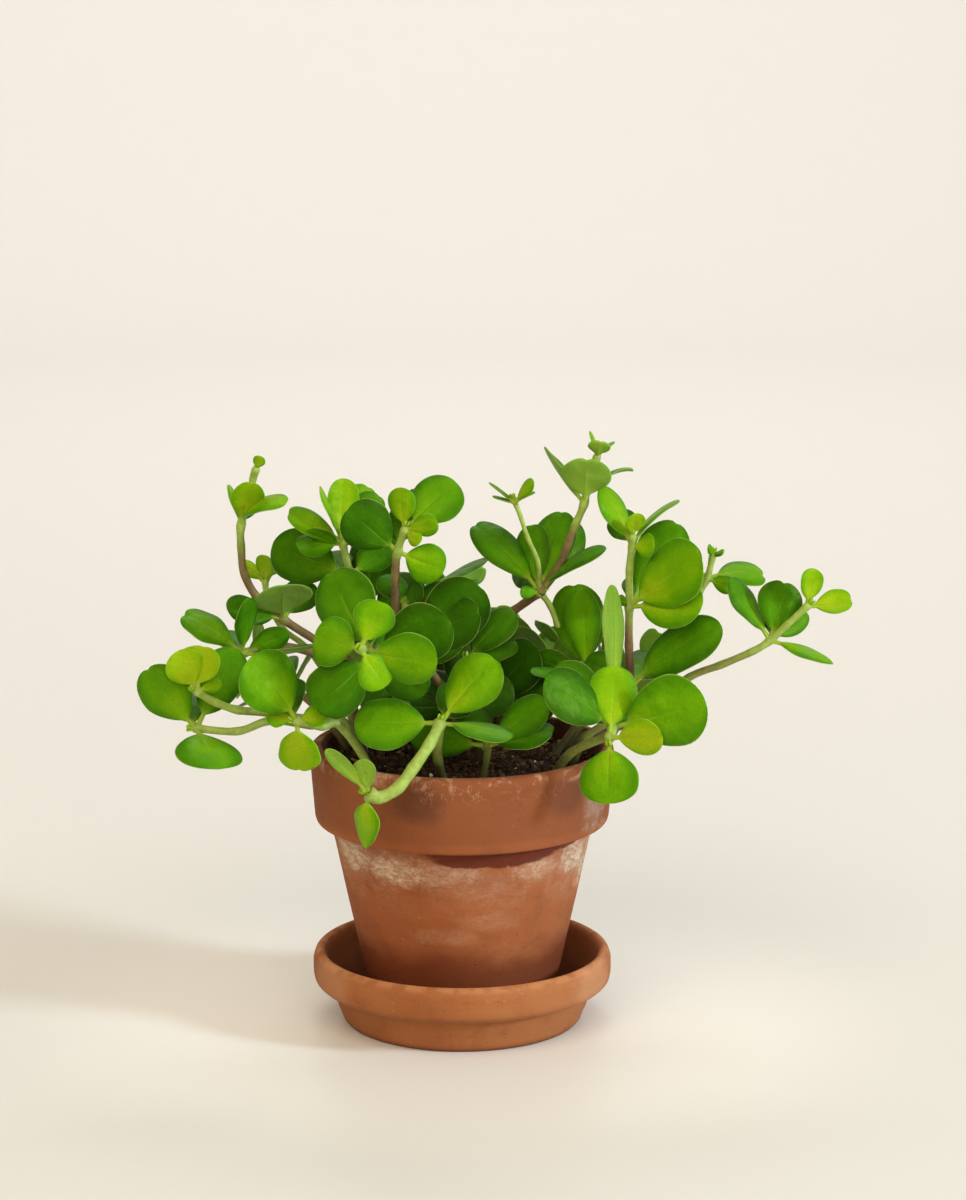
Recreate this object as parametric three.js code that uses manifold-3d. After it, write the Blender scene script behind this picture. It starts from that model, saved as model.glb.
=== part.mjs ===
// A trailing jade peperomia in a clay pot that stands in a clay saucer, at its real size in millimetres. +Z
// is up, the origin is the middle of the saucer's underside, and the plant's front faces -Y. The pot and
// the saucer are turned on a wheel, so each is a lathed profile. The soil fills the pot, with a plain hole
// for each stem. Each leafy stem is one piece: its stem, its branches and its leaves are grown together.

import * as THREE from 'three';
import * as BufferGeometryUtils from 'three/addons/utils/BufferGeometryUtils.js';
import Module from 'manifold-3d';

const wasm = await Module();
wasm.setup();

// Driving dimensions

const RIM_RADIUS = 60.5; // a common 12 cm clay pot
const POT_TOP = 113.5;
const POT_FOOT_RADIUS = 36;
const POT_FOOT_HEIGHT = 5; // how high the foot stands above the floor, in the saucer
const BODY_TOP = 82.5; // where the thick rim band begins
const BODY_TOP_RADIUS = 52.8;
const WALL = 5;
const POT_FLOOR_THICKNESS = 7;
const DRAIN_RADIUS = 6;

const SAUCER_RADIUS = 60.2;
const SAUCER_BASE_RADIUS = 48.3;
const SAUCER_HEIGHT = 29.6;
const SAUCER_FLOOR = 4.7;

const CLEARANCE = 0.3; // between pieces that touch
const SOIL_TOP = 107.5;
const ROOT_DEPTH = 95; // the height at which every stem starts, inside the soil

const ROUND_STEPS = 36;
const STEM_SIDES = 4;
const STEM_STEP = 14;
const PETIOLE_SHARE = 0.16; // how much of a leaf's length is its stalk
const PETIOLE_RADIUS = 0.9;
const PETIOLE_BASE = 0.4; // how thick a stalk is where it leaves the stem, as a share of the stalk's end
const PETIOLE_START = 0.5; // how far from the middle of the stem a stalk starts
const STEM_TIP = 1.2; // how far a stem goes on past its last whorl
const LEAF_THICKNESS = 1.7;
const CUP = 0.1; // how far the sides of a blade bend, as a share of its half width
const YOUNG_CUP = 0.22; // a young blade is a shallow spoon

// Colours

const CLAY = { color: 0xa85f38, roughness: 0.85, metalness: 0 };
const SAUCER_CLAY = { color: 0xb5703f, roughness: 0.8, metalness: 0 };
const SOIL = { color: 0x2a1b14, roughness: 1, metalness: 0 };
const LEAF = { color: 0x5f9a1a, roughness: 0.4, metalness: 0 };

// The leafy stems that the front shows. A stem is a smooth curve through points in millimetres, with its
// radius at both ends, and a branch starts at a point of the stem before it. A whorl sits at a point of a
// stem. Directions are clock angles seen from the front, in degrees clockwise from straight up, with a tilt
// towards the front. A leaf is [clock, tilt, length, width, roll, bend], with its upper side turned where
// its whorl faces and then rolled about its own length. The seed is that of the draws for its leaves.

const SHOOTS = {
  stem_tall_left: {
    seed: 87,
    stems: [
      { radius: [1.8, 1.3], points: [[-30, 4, 95], [-44, 2, 144], [-56, 0, 154], [-71, 0, 164],
        [-81, -1, 173], [-86, -2, 183], [-87, -2, 193], [-87, -2, 202], [-84, 1, 212], [-82, 1, 221],
        [-81, 0, 224]] },
    ],
    whorls: [
      { stem: 0, at: 3, facing: [0, 40], leaves: [[4, 45, 24, 23, 0, 15], [-70, 8, 23, 12, 0, 15],
        [38, -35, 20, 14, 0, 10]] },
      { stem: 0, at: 7, facing: [0, 60], leaves: [[15, 12, 20, 12, 0, -15], [-18, 2, 16, 9, 66, 15],
        [59, 5, 24, 13, -45, 80], [10, -55, 17, 10, 0, 12]] },
      { stem: 0, at: 10, facing: [0, 60], leaves: [[20, 10, 6, 5, 0, 10]] },
    ],
  },
  stem_pale_left: {
    seed: 40,
    stems: [
      { radius: [1.3, 1.1], points: [[-34, 30, 95], [-59, 32, 140], [-73, 34, 153], [-79, 34, 165],
        [-80, 34, 172]] },
    ],
    whorls: [
      { stem: 0, at: 4, facing: [0, 50], leaves: [[-50, 5, 13, 8, 20, 10], [3, 5, 12, 8, 0, -10],
        [36, -15, 18, 8, 0, 10]] },
    ],
  },
  stem_left_middle: {
    seed: 23,
    stems: [
      { radius: [1.9, 1.5], points: [[-36, -6, 95], [-46, -7, 140], [-57, -8, 151], [-71, -9, 155],
        [-81, -10, 154], [-87, -10, 152]] },
    ],
    whorls: [
      { stem: 0, at: 5, facing: [0, 60], leaves: [[-57, 5, 28, 16, 30, 40], [8, 8, 25, 13, 62, 12],
        [64, -12, 21, 9, 10, 10], [78, 10, 31, 12, -68, -15], [214, -15, 15, 10, 0, 10],
        [-57, -60, 21, 13, 0, 12]] },
    ],
  },
  stem_far_left: {
    seed: 7,
    stems: [
      { radius: [1.8, 1.5], points: [[-33, -20, 95], [-46, -22, 127], [-63, -27, 130], [-76, -30, 133],
        [-87, -34, 135], [-96, -37, 139], [-102, -41, 144]] },
    ],
    whorls: [
      { stem: 0, at: 6, facing: [-10, 75], leaves: [[-24, 16, 18, 15, 0, -12], [9, 10, 18, 17, 0, -12],
        [70, -20, 10, 7, 0, 10]] },
    ],
  },
  stem_low_left: {
    seed: 73,
    stems: [
      { radius: [1.8, 1.5], points: [[-29, -29, 95], [-45, -31, 127], [-59, -34, 129], [-74, -35, 131],
        [-87, -36, 127], [-103, -36, 128]] },
    ],
    whorls: [
      { stem: 0, at: 5, facing: [-20, 65], leaves: [[-37, -8, 31, 20, 0, 15], [28, -30, 36, 18, 0, 20],
        [135, 60, 28, 27, -42, 12], [-37, -62, 24, 16, 0, 12]] },
    ],
  },
  stem_front_left: {
    seed: 57,
    stems: [
      { radius: [1.7, 1.5], points: [[-25, -37, 95], [-45, -43, 129], [-54, -49, 132], [-63, -53, 135]] },
    ],
    whorls: [
      { stem: 0, at: 3, facing: [-10, 75], leaves: [[-34, -5, 31, 23, 0, 20], [178, 12, 20, 17, 0, 12],
        [75, 15, 12, 9, 0, 8], [-76, 18, 12, 9, 0, 8], [-34, -60, 24, 17, 0, 12]] },
    ],
  },
  stem_rosette: {
    seed: 87,
    stems: [
      { radius: [1.9, 1.7], points: [[-12, -14, 95], [-22, -26, 135], [-29, -40, 151], [-34, -52, 161],
        [-37, -62, 165], [-38, -68, 167]] },
    ],
    whorls: [
      { stem: 0, at: 3, facing: [0, 78], leaves: [[-27, 0, 34, 24, 0, 15], [229, 0, 29, 22, 0, 15],
        [64, 0, 33, 23, 0, 15], [128, -15, 26, 17, 0, 15], [-27, -58, 26, 18, 0, 12],
        [64, -62, 25, 17, 0, 12]] },
      { stem: 0, at: 4, facing: [0, 82], leaves: [[-78, 8, 19, 20, 0, 12], [95, 5, 28, 20, 0, 12]] },
      { stem: 0, at: 5, facing: [0, 85], leaves: [[24, 15, 20, 16, 0, 8], [148, 15, 18, 14, 0, 8]] },
    ],
  },
  stem_upper_middle: {
    seed: 10,
    stems: [
      { radius: [1.8, 1.5], points: [[-14, 2, 95], [-25, -3, 143], [-26, -8, 165], [-26, -12, 184],
        [-25, -14, 194], [-22, -16, 203]] },
    ],
    whorls: [
      { stem: 0, at: 4, facing: [0, 70], leaves: [[-45, 8, 27, 20, 0, 12], [112, 15, 20, 16, 0, 12],
        [10, -30, 20, 13, 0, 10]] },
      { stem: 0, at: 5, facing: [0, 75], leaves: [[49, -8, 26, 20, 0, 12], [-6, 15, 17, 11, 0, 8],
        [74, 20, 14, 9, 0, 8], [128, 25, 8, 6, 0, 8], [45, -55, 23, 16, 0, 12]] },
      { stem: 0, at: 1, facing: [0, 72], leaves: [[-125, 20, 20, 16, 0, 12]] },
    ],
  },
  stem_upper_left: {
    seed: 56,
    stems: [
      { radius: [1.6, 1.4], points: [[-22, 8, 95], [-33, 6, 150], [-40, 2, 169], [-44, 0, 182],
        [-47, -2, 195]] },
    ],
    whorls: [
      { stem: 0, at: 3, facing: [0, 60], leaves: [[-74, -8, 33, 21, 0, 12], [52, -20, 20, 13, 0, 12],
        [-70, -60, 24, 16, 0, 12]] },
      { stem: 0, at: 4, facing: [0, 60], leaves: [[-58, 0, 25, 13, 25, 30], [-90, 12, 18, 11, 0, 12],
        [-60, 35, 18, 9, -75, 20], [1, 10, 25, 14, 25, -10], [26, -16, 23, 14, 0, 10],
        [-20, 5, 25, 12, 75, 10], [92, 0, 22, 10, 60, 15], [40, -28, 25, 13, 0, 10]] },
    ],
  },
  stem_dark_middle: {
    seed: 121,
    stems: [
      { radius: [1.6, 1.4], points: [[-8, 16, 95], [-28, 17, 141], [-34, 15, 155], [-37, 13, 163]] },
    ],
    whorls: [
      { stem: 0, at: 3, facing: [0, 70], leaves: [[3, -4, 34, 19, 0, 8], [-50, -25, 26, 18, 0, 10],
        [60, -25, 26, 18, 0, 10]] },
    ],
  },
  stem_right_middle: {
    seed: 76,
    stems: [
      { radius: [1.8, 1.5], points: [[-4, 2, 95], [-5, -6, 130], [-12, -12, 145], [-19, -14, 155],
        [-22, -4, 170]] },
    ],
    whorls: [
      { stem: 0, at: 3, facing: [10, 60], leaves: [[57, 0, 31, 21, 0, 10], [46, -10, 37, 24, 0, 12],
        [80, 10, 20, 16, 0, 12], [35, -20, 30, 20, 0, 12]] },
      { stem: 0, at: 4, facing: [0, 60], leaves: [[62, -3, 37, 15, -62, 12], [72, 6, 30, 15, -55, 12],
        [30, 10, 12, 10, 0, 10], [-40, -30, 16, 12, 0, 10]] },
      { stem: 0, at: 1, facing: [0, 60], leaves: [[-85, 22, 21, 14, 0, 12], [77, 4, 26, 17, 0, 12]] },
    ],
  },
  stem_low_middle: {
    seed: 88,
    stems: [
      { radius: [1.5, 1.3], points: [[8, -8, 95], [5, -12, 132], [3, -14, 145], [2, -14, 150]] },
    ],
    whorls: [
      { stem: 0, at: 3, facing: [10, 50], leaves: [[44, 0, 26, 16, 0, 12], [70, 10, 21, 13, 0, 12],
        [110, 20, 14, 11, 0, 10]] },
    ],
  },
  stem_front: {
    seed: 7,
    stems: [
      { radius: [1.9, 1.8], points: [[-4, -26, 95], [-9, -46, 118], [-8, -52, 134]] },
      { radius: [2.1, 2.4], points: [[-8, -52, 134], [-12, -61, 128], [-18, -66, 120], [-24, -70, 113],
        [-31, -73, 110], [-35, -74, 112]] },
    ],
    whorls: [
      { stem: 0, at: 2, facing: [0, 65], leaves: [[-91, 8, 33, 22, 0, 12], [41, 5, 32, 21, 0, 12],
        [97, 20, 29, 17, -55, 12], [41, -60, 24, 16, 0, 12]] },
      { stem: 1, at: 5, facing: [200, 30], leaves: [[183, 10, 22, 14, 20, 10], [-10, 8, 15, 9, 30, 8],
        [-36, 5, 26, 6, 50, -10]] },
    ],
  },
  stem_low_front: {
    seed: 87,
    stems: [
      { radius: [1.4, 1.3], points: [[6, -34, 95], [10, -39, 118], [10, -40, 122]] },
    ],
    whorls: [
      { stem: 0, at: 2, facing: [0, 55], leaves: [[-86, -4, 30, 14, -25, 12], [72, 8, 27, 15, -30, 12],
        [50, 0, 30, 16, -15, 12], [-30, -30, 18, 14, 0, 10]] },
    ],
  },
  stem_right_tall: {
    seed: 78,
    stems: [
      { radius: [1.7, 1.7], points: [[10, 12, 95], [11, 13, 128], [9, 10, 149], [14, 8, 161],
        [20, 5, 166], [31, 0, 175]] },
      { radius: [1.7, 1.3], points: [[31, 0, 175], [38, -3, 185], [42, -6, 196], [45, -7, 204],
        [48, -8, 212], [50, -6, 222], [53, -6, 230]] },
      { radius: [1.0, 0.8], points: [[31, 0, 175], [30, -5, 188], [26, -7, 198], [23, -7, 207],
        [21, -7, 212]] },
      { radius: [1.2, 1.1], points: [[31, 0, 175], [35, 2, 169], [38, 4, 161]] },
    ],
    whorls: [
      { stem: 0, at: 1, facing: [0, 65], leaves: [[-78, -6, 29, 21, 0, 12], [-28, -12, 30, 21, 0, 12],
        [38, -12, 30, 21, 0, 12], [88, -6, 27, 19, 0, 12]] },
      { stem: 0, at: 5, facing: [0, 68], leaves: [[-47, 0, 36, 16, 20, 35], [17, -10, 31, 18, 0, 12],
        [30, -18, 30, 17, 0, 12], [-8, -28, 28, 14, 0, 12], [53, -8, 33, 11, -55, 45],
        [-82, 12, 8, 5, 0, 8], [-45, -60, 23, 13, 0, 12]] },
      { stem: 1, at: 4, facing: [0, 20], leaves: [[-36, 5, 26, 15, 45, -8], [2, 32, 23, 19, 0, 10],
        [60, 5, 25, 13, -40, 80]] },
      { stem: 1, at: 6, facing: [0, 20], leaves: [[-16, 5, 10, 4, 50, 20], [10, 38, 9, 8, 0, 10],
        [50, 10, 9, 6, -30, 40]] },
      { stem: 2, at: 4, facing: [0, 60], leaves: [[-50, 0, 13, 5, 70, 8], [-74, 10, 9, 4, 60, 8],
        [35, 0, 12, 6, -20, 8], [62, 15, 9, 5, -60, 45]] },
    ],
  },
  stem_right_upright: {
    seed: 9,
    stems: [
      { radius: [1.9, 1.3], points: [[36, -8, 95], [47, -9, 117], [67, -10, 125], [67, -9, 139],
        [66, -9, 155], [66, -9, 171], [66, -9, 186], [67, -9, 195], [67, -10, 199]] },
    ],
    whorls: [
      { stem: 0, at: 3, facing: [0, 68], leaves: [[52, 3, 44, 21, -20, 30], [-65, -30, 22, 14, 0, 10],
        [50, -58, 25, 17, 0, 12]] },
      { stem: 0, at: 5, facing: [0, 72], leaves: [[47, -3, 36, 25, 0, 14], [32, -22, 39, 21, 0, 14],
        [81, 15, 29, 19, 0, 12], [-46, 10, 6, 4, 0, 8], [55, -62, 25, 17, 0, 12]] },
      { stem: 0, at: 7, facing: [0, 45], leaves: [[-28, 5, 26, 15, 28, 20], [47, 5, 26, 12, -56, 50],
        [80, 35, 10, 9, 0, 8], [-28, -50, 19, 12, 0, 12]] },
      { stem: 0, at: 8, facing: [0, 75], leaves: [[8, 25, 11, 8, 0, -10]] },
    ],
  },
  stem_right_front: {
    seed: 87,
    stems: [
      { radius: [1.8, 1.7], points: [[30, -26, 95], [42, -30, 116], [59, -36, 127], [58, -38, 140],
        [58, -50, 132], [57, -55, 129]] },
    ],
    whorls: [
      { stem: 0, at: 3, facing: [0, 70], leaves: [[1, -5, 42, 14, 50, 8], [-62, -15, 26, 14, 0, 10]] },
      { stem: 0, at: 4, facing: [0, 70], leaves: [[-51, 5, 34, 20, 10, 25], [72, -3, 37, 27, 0, 12],
        [-67, 18, 18, 10, 62, 10], [72, -60, 26, 18, 0, 12]] },
      { stem: 0, at: 5, facing: [0, 78], leaves: [[5, 8, 26, 19, 0, 10], [84, 12, 20, 14, 0, 10],
        [182, 20, 25, 23, 0, 12]] },
    ],
  },
  stem_right_inner: {
    seed: 24,
    stems: [
      { radius: [1.6, 1.4], points: [[28, 6, 95], [52, 7, 128], [50, 7, 136], [49, 8, 139]] },
    ],
    whorls: [
      { stem: 0, at: 3, facing: [0, 75], leaves: [[-7, 0, 36, 22, 0, 8], [-70, 5, 20, 11, 0, 10],
        [-3, -12, 37, 14, 0, 8], [-80, 25, 24, 9, 60, -10]] },
    ],
  },
  stem_far_right: {
    seed: 54,
    stems: [
      { radius: [1.6, 1.3], points: [[42, -14, 95], [49, -14, 119], [75, -14, 133], [90, -15, 144],
        [102, -16, 149], [115, -17, 155], [121, -17, 159], [127, -18, 165], [135, -19, 173]] },
    ],
    whorls: [
      { stem: 0, at: 6, facing: [0, 65], leaves: [[-33, 6, 28, 14, 40, 8], [14, 0, 23, 18, 0, 10],
        [64, -15, 18, 10, 0, 10], [107, 10, 25, 11, -50, 12], [14, -55, 20, 14, 0, 10]] },
      { stem: 0, at: 8, facing: [0, 70], leaves: [[8, 10, 15, 10, 20, -12], [82, 10, 18, 11, -20, -12]] },
    ],
  },
  stem_right_arch: {
    seed: 56,
    stems: [
      { radius: [1.5, 1.2], points: [[38, 14, 95], [49, 15, 118], [81, 20, 131], [91, 26, 154],
        [96, 28, 169], [99, 28, 175], [101, 28, 184]] },
    ],
    whorls: [
      { stem: 0, at: 5, facing: [0, 60], leaves: [[90, 0, 24, 16, -30, 50], [104, 20, 12, 7, 0, 10],
        [-50, -30, 24, 16, 0, 10]] },
      { stem: 0, at: 6, facing: [30, 20], leaves: [[-20, 10, 5, 4, 0, 8], [60, 10, 5, 4, 0, 8]] },
    ],
  },
};

// A leaf of the front that lies near the front's plane is swung out of it, by a drawn angle, and turned
// about its own length by another. It is longer and wider by what the front would lose of it.
const LEAN = 30; // degrees, at most
const TURN = 28;
const LEAST_SWING = 0.4; // as a share of the most
const STEADY = 20; // a leaf that is already tilted or rolled by this much stays as it is

// The leafy stems at the back, which lean out of the pot on their own bearings. A bearing is in degrees
// round the pot from +X towards +Y. Each stem rises from the soil to its last whorl, and its other whorls
// sit lower on it.

const BACK_SHOOTS = {
  stem_back_1: { bearing: 30, root: 40, reach: 84, height: 132, whorls: 2, seed: 3 },
  stem_back_2: { bearing: 50, root: 32, reach: 66, height: 143, whorls: 3, seed: 7 },
  stem_back_3: { bearing: 72, root: 40, reach: 86, height: 136, whorls: 2, seed: 16 },
  stem_back_4: { bearing: 95, root: 26, reach: 56, height: 162, whorls: 3, seed: 9 },
  stem_back_5: { bearing: 114, root: 40, reach: 84, height: 136, whorls: 2, seed: 1 },
  stem_back_6: { bearing: 138, root: 28, reach: 60, height: 160, whorls: 3, seed: 2 },
  stem_back_7: { bearing: 164, root: 40, reach: 86, height: 138, whorls: 2, seed: 2 },
};
const BACK_BOW = [[0.35, 0.55], [0.68, 0.85], [1, 1]]; // shares of the way out and up, at each later point
const BACK_LEAVES = [4, 4, 3]; // leaves in a whorl, from the lowest one up
const BACK_LENGTH = [22, 28]; // the shortest and longest full leaf
const BACK_WIDTH = 0.72; // as a share of the length
const BACK_SHRINK = 0.12; // how much shorter the leaves of each later whorl are
const BACK_RISE = [10, 35]; // how far a leaf leans along its stem, in degrees
const BACK_UNEVEN = 10; // how unevenly leaves are turned and rolled, in degrees
const BACK_BEND = 18;
const BACK_STEM_RADIUS = [1.7, 1.4];

// Small helpers

const radians = THREE.MathUtils.degToRad;

function seededDraws(seed) {
  let state = seed * 7919;
  return () => {
    state = (state * 16807) % 2147483647;
    return state / 2147483647;
  };
}

function solidOf(geometry) {
  const bare = geometry.clone();
  bare.deleteAttribute('normal');
  bare.deleteAttribute('uv');
  const merged = BufferGeometryUtils.mergeVertices(bare, 1e-4);
  return solidFrom(merged.attributes.position.array, merged.index.array);
}

function solidFrom(positions, triangles) {
  const mesh = new wasm.Mesh({
    numProp: 3,
    vertProperties: Float32Array.from(positions),
    triVerts: Uint32Array.from(triangles),
  });
  return new wasm.Manifold(mesh);
}

function geometryOf(solid) {
  const mesh = solid.getMesh();
  const geometry = new THREE.BufferGeometry();
  geometry.setAttribute('position', new THREE.BufferAttribute(Float32Array.from(mesh.vertProperties), 3));
  geometry.setIndex(new THREE.BufferAttribute(Uint32Array.from(mesh.triVerts), 1));
  geometry.computeVertexNormals();
  return geometry;
}

function lathe(profile, steps) {
  const points = profile.map(([radius, height]) => new THREE.Vector2(radius, height));
  const geometry = new THREE.LatheGeometry(points, steps);
  geometry.rotateX(Math.PI / 2);
  return geometry;
}

function pieceOf(name, geometry, finish) {
  const piece = new THREE.Mesh(geometry, new THREE.MeshStandardMaterial(finish));
  piece.name = name;
  return piece;
}

// A direction from a clock angle and a tilt towards the front.
function heading(clock, tilt) {
  const turn = radians(clock);
  const lean = radians(tilt);
  const flat = Math.cos(lean);
  return new THREE.Vector3(Math.sin(turn) * flat, -Math.sin(lean), Math.cos(turn) * flat);
}

// The stem

function stemPath(points) {
  const knots = points.map((point) => new THREE.Vector3(...point));
  const curve = new THREE.CatmullRomCurve3(knots, false, 'catmullrom', 0.5);
  const path = [];
  const last = knots.length - 1;
  for (let i = 0; i < last; i += 1) {
    const steps = Math.max(1, Math.round(knots[i].distanceTo(knots[i + 1]) / STEM_STEP));
    for (let k = 0; k < steps; k += 1) {
      path.push({ place: curve.getPoint((i + k / steps) / last), share: (i + k / steps) / last });
    }
  }
  path.push({ place: knots[last].clone(), share: 1 });
  return path;
}

// A closed tapering tube along a path. spare makes it thicker and sinkBy longer at its start. Its first
// corner is turned towards a direction that no stem runs along.
const FIRST_CORNER = new THREE.Vector3(0.3, 0.9, 0.1);

function tubeSolid(path, radius, spare = 0, sinkBy = 0) {
  const positions = [];
  const triangles = [];
  const count = path.length;
  let side = new THREE.Vector3();
  path.forEach(({ place, share }, i) => {
    const before = path[Math.max(i - 1, 0)].place;
    const after = path[Math.min(i + 1, count - 1)].place;
    const along = after.clone().sub(before).normalize();
    if (i === 0) {
      side.crossVectors(along, FIRST_CORNER).normalize();
    }
    side = side.clone().addScaledVector(along, -side.dot(along)).normalize();
    const other = new THREE.Vector3().crossVectors(along, side);
    const centre = place.clone();
    if (i === 0) {
      centre.addScaledVector(along, -sinkBy);
    }
    if (i === count - 1) {
      centre.addScaledVector(along, STEM_TIP);
    }
    const thick = THREE.MathUtils.lerp(radius[0], radius[1], share) + spare;
    for (let k = 0; k < STEM_SIDES; k += 1) {
      const turn = (2 * Math.PI * k) / STEM_SIDES;
      const point = centre.clone();
      point.addScaledVector(side, thick * Math.cos(turn));
      point.addScaledVector(other, thick * Math.sin(turn));
      positions.push(point.x, point.y, point.z);
    }
  });
  for (let i = 0; i < count - 1; i += 1) {
    for (let k = 0; k < STEM_SIDES; k += 1) {
      const a = i * STEM_SIDES + k;
      const b = i * STEM_SIDES + ((k + 1) % STEM_SIDES);
      triangles.push(a, b, b + STEM_SIDES, a, b + STEM_SIDES, a + STEM_SIDES);
    }
  }
  const end = (count - 1) * STEM_SIDES;
  for (let k = 1; k < STEM_SIDES - 1; k += 1) {
    triangles.push(0, k + 1, k, end, end + k, end + k + 1);
  }
  return solidFrom(positions, triangles);
}

// The leaf

// The outline of a blade: how wide it is, as a share of its widest, at a share of its length.
const OUTLINE_START = 0.7;
const OUTLINE_END = 0.5;
const WIDEST = OUTLINE_START / (OUTLINE_START + OUTLINE_END);
const WIDEST_VALUE = WIDEST ** OUTLINE_START * (1 - WIDEST) ** OUTLINE_END;

function bladeWidth(share) {
  return (share ** OUTLINE_START * (1 - share) ** OUTLINE_END) / WIDEST_VALUE;
}

function halfWidth(share, width) {
  if (share <= PETIOLE_SHARE) {
    return PETIOLE_RADIUS * THREE.MathUtils.lerp(PETIOLE_BASE, 1, share / PETIOLE_SHARE);
  }
  const along = (share - PETIOLE_SHARE) / (1 - PETIOLE_SHARE);
  return Math.max(PETIOLE_RADIUS * (1 - along), 0.5 * width * bladeWidth(along));
}

// The places along a leaf where its edge and its midrib have a point, as shares of its length, and how
// thick it is at each point of the midrib, as a share of its full thickness. A small leaf has fewer points.
const FULL_LEAF = {
  edge: [0, 0.16, 0.27, 0.44, 0.65, 0.85],
  rib: [0.02, 0.22, 0.52, 0.82],
  thick: [0.4, 0.95, 1, 0.8],
};
const SMALL_LEAF = { edge: [0, 0.16, 0.34, 0.62, 0.86], rib: [0.02, 0.4, 0.8], thick: [0.4, 1, 0.8] };
const SMALL_LENGTH = 21; // a leaf shorter than this is small

function leafSolid(base, facing, { out, length, width, roll, bend }) {
  const face = facing.clone().addScaledVector(out, -facing.dot(out)).normalize();
  const up = face.applyAxisAngle(out, radians(roll));
  const side = new THREE.Vector3().crossVectors(out, up);
  const arc = radians(bend);
  const cup = ((bend > 0 ? -CUP : YOUNG_CUP) * 2) / width;
  const start = base.clone().addScaledVector(out, PETIOLE_START);
  const { edge: edgeShares, rib: ribShares, thick } = length < SMALL_LENGTH ? SMALL_LEAF : FULL_LEAF;

  function leafPoint(share, across, lift) {
    const turn = arc * (0.5 - share);
    const forward = (length / arc) * (Math.sin(arc / 2) - Math.sin(turn));
    const raised = (length / arc) * (Math.cos(turn) - Math.cos(arc / 2));
    const off = cup * across * across + lift;
    const point = start.clone();
    point.addScaledVector(out, forward - off * Math.sin(turn));
    point.addScaledVector(up, raised + off * Math.cos(turn));
    point.addScaledVector(side, across);
    return point;
  }

  const edge = [
    ...edgeShares.map((share) => leafPoint(share, -halfWidth(share, width), 0)),
    leafPoint(1, 0, 0),
    ...edgeShares.map((share) => leafPoint(share, halfWidth(share, width), 0)).reverse(),
  ];
  const ribTop = ribShares.map((share, i) => leafPoint(share, 0, (thick[i] * LEAF_THICKNESS) / 2));
  const ribBottom = ribShares.map((share, i) => leafPoint(share, 0, (-thick[i] * LEAF_THICKNESS) / 2));
  const points = [...edge, ...ribTop, ...ribBottom];
  const positions = points.flatMap((point) => [point.x, point.y, point.z]);

  const tip = edgeShares.length;
  const left = Array.from({ length: tip + 1 }, (_, i) => i);
  const right = Array.from({ length: tip + 1 }, (_, i) => 2 * tip - i);
  const top = ribShares.map((_, i) => edge.length + i);
  const bottom = top.map((corner) => corner + ribShares.length);
  const shares = [...edgeShares, 1];
  const triangles = [];

  // Fills the strip between an edge and the midrib, taking the nearer next point each time.
  function fillStrip(line, rib, flipped) {
    let i = 0;
    let k = 0;
    while (i < line.length - 1 || k < rib.length - 1) {
      const edgeNext = k === rib.length - 1 || (i < line.length - 1 && shares[i + 1] <= ribShares[k + 1]);
      const corners = edgeNext ? [line[i], line[i + 1], rib[k]] : [line[i], rib[k + 1], rib[k]];
      triangles.push(...(flipped ? corners.reverse() : corners));
      if (edgeNext) {
        i += 1;
      } else {
        k += 1;
      }
    }
  }
  fillStrip(left, top, true);
  fillStrip(right, top, false);
  fillStrip(left, bottom, false);
  fillStrip(right, bottom, true);
  triangles.push(right[0], top[0], left[0], left[0], bottom[0], right[0]);
  return solidFrom(positions, triangles);
}

// The leafy stems

function frontShoot({ stems, whorls, seed }) {
  const draw = seededDraws(seed);

  function swung(angle, most) {
    const drawn = 2 * draw() - 1;
    const swing = most * (LEAST_SWING * Math.sign(drawn) + (1 - LEAST_SWING) * drawn);
    return Math.abs(angle) >= STEADY ? angle : angle + swing;
  }

  function frontLeaf([clock, tilt, length, width, roll, bend]) {
    const leaned = swung(tilt, LEAN);
    const rolled = swung(roll, TURN);
    return {
      out: heading(clock, leaned),
      length: (length * Math.cos(radians(tilt))) / Math.cos(radians(leaned)),
      width: (width * Math.cos(radians(roll))) / Math.cos(radians(rolled)),
      roll: rolled,
      bend,
    };
  }

  return {
    stems,
    whorls: whorls.map(({ stem, at, facing, leaves }) => ({
      base: new THREE.Vector3(...stems[stem].points[at]),
      facing: heading(...facing),
      leaves: leaves.map(frontLeaf),
    })),
  };
}

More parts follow.
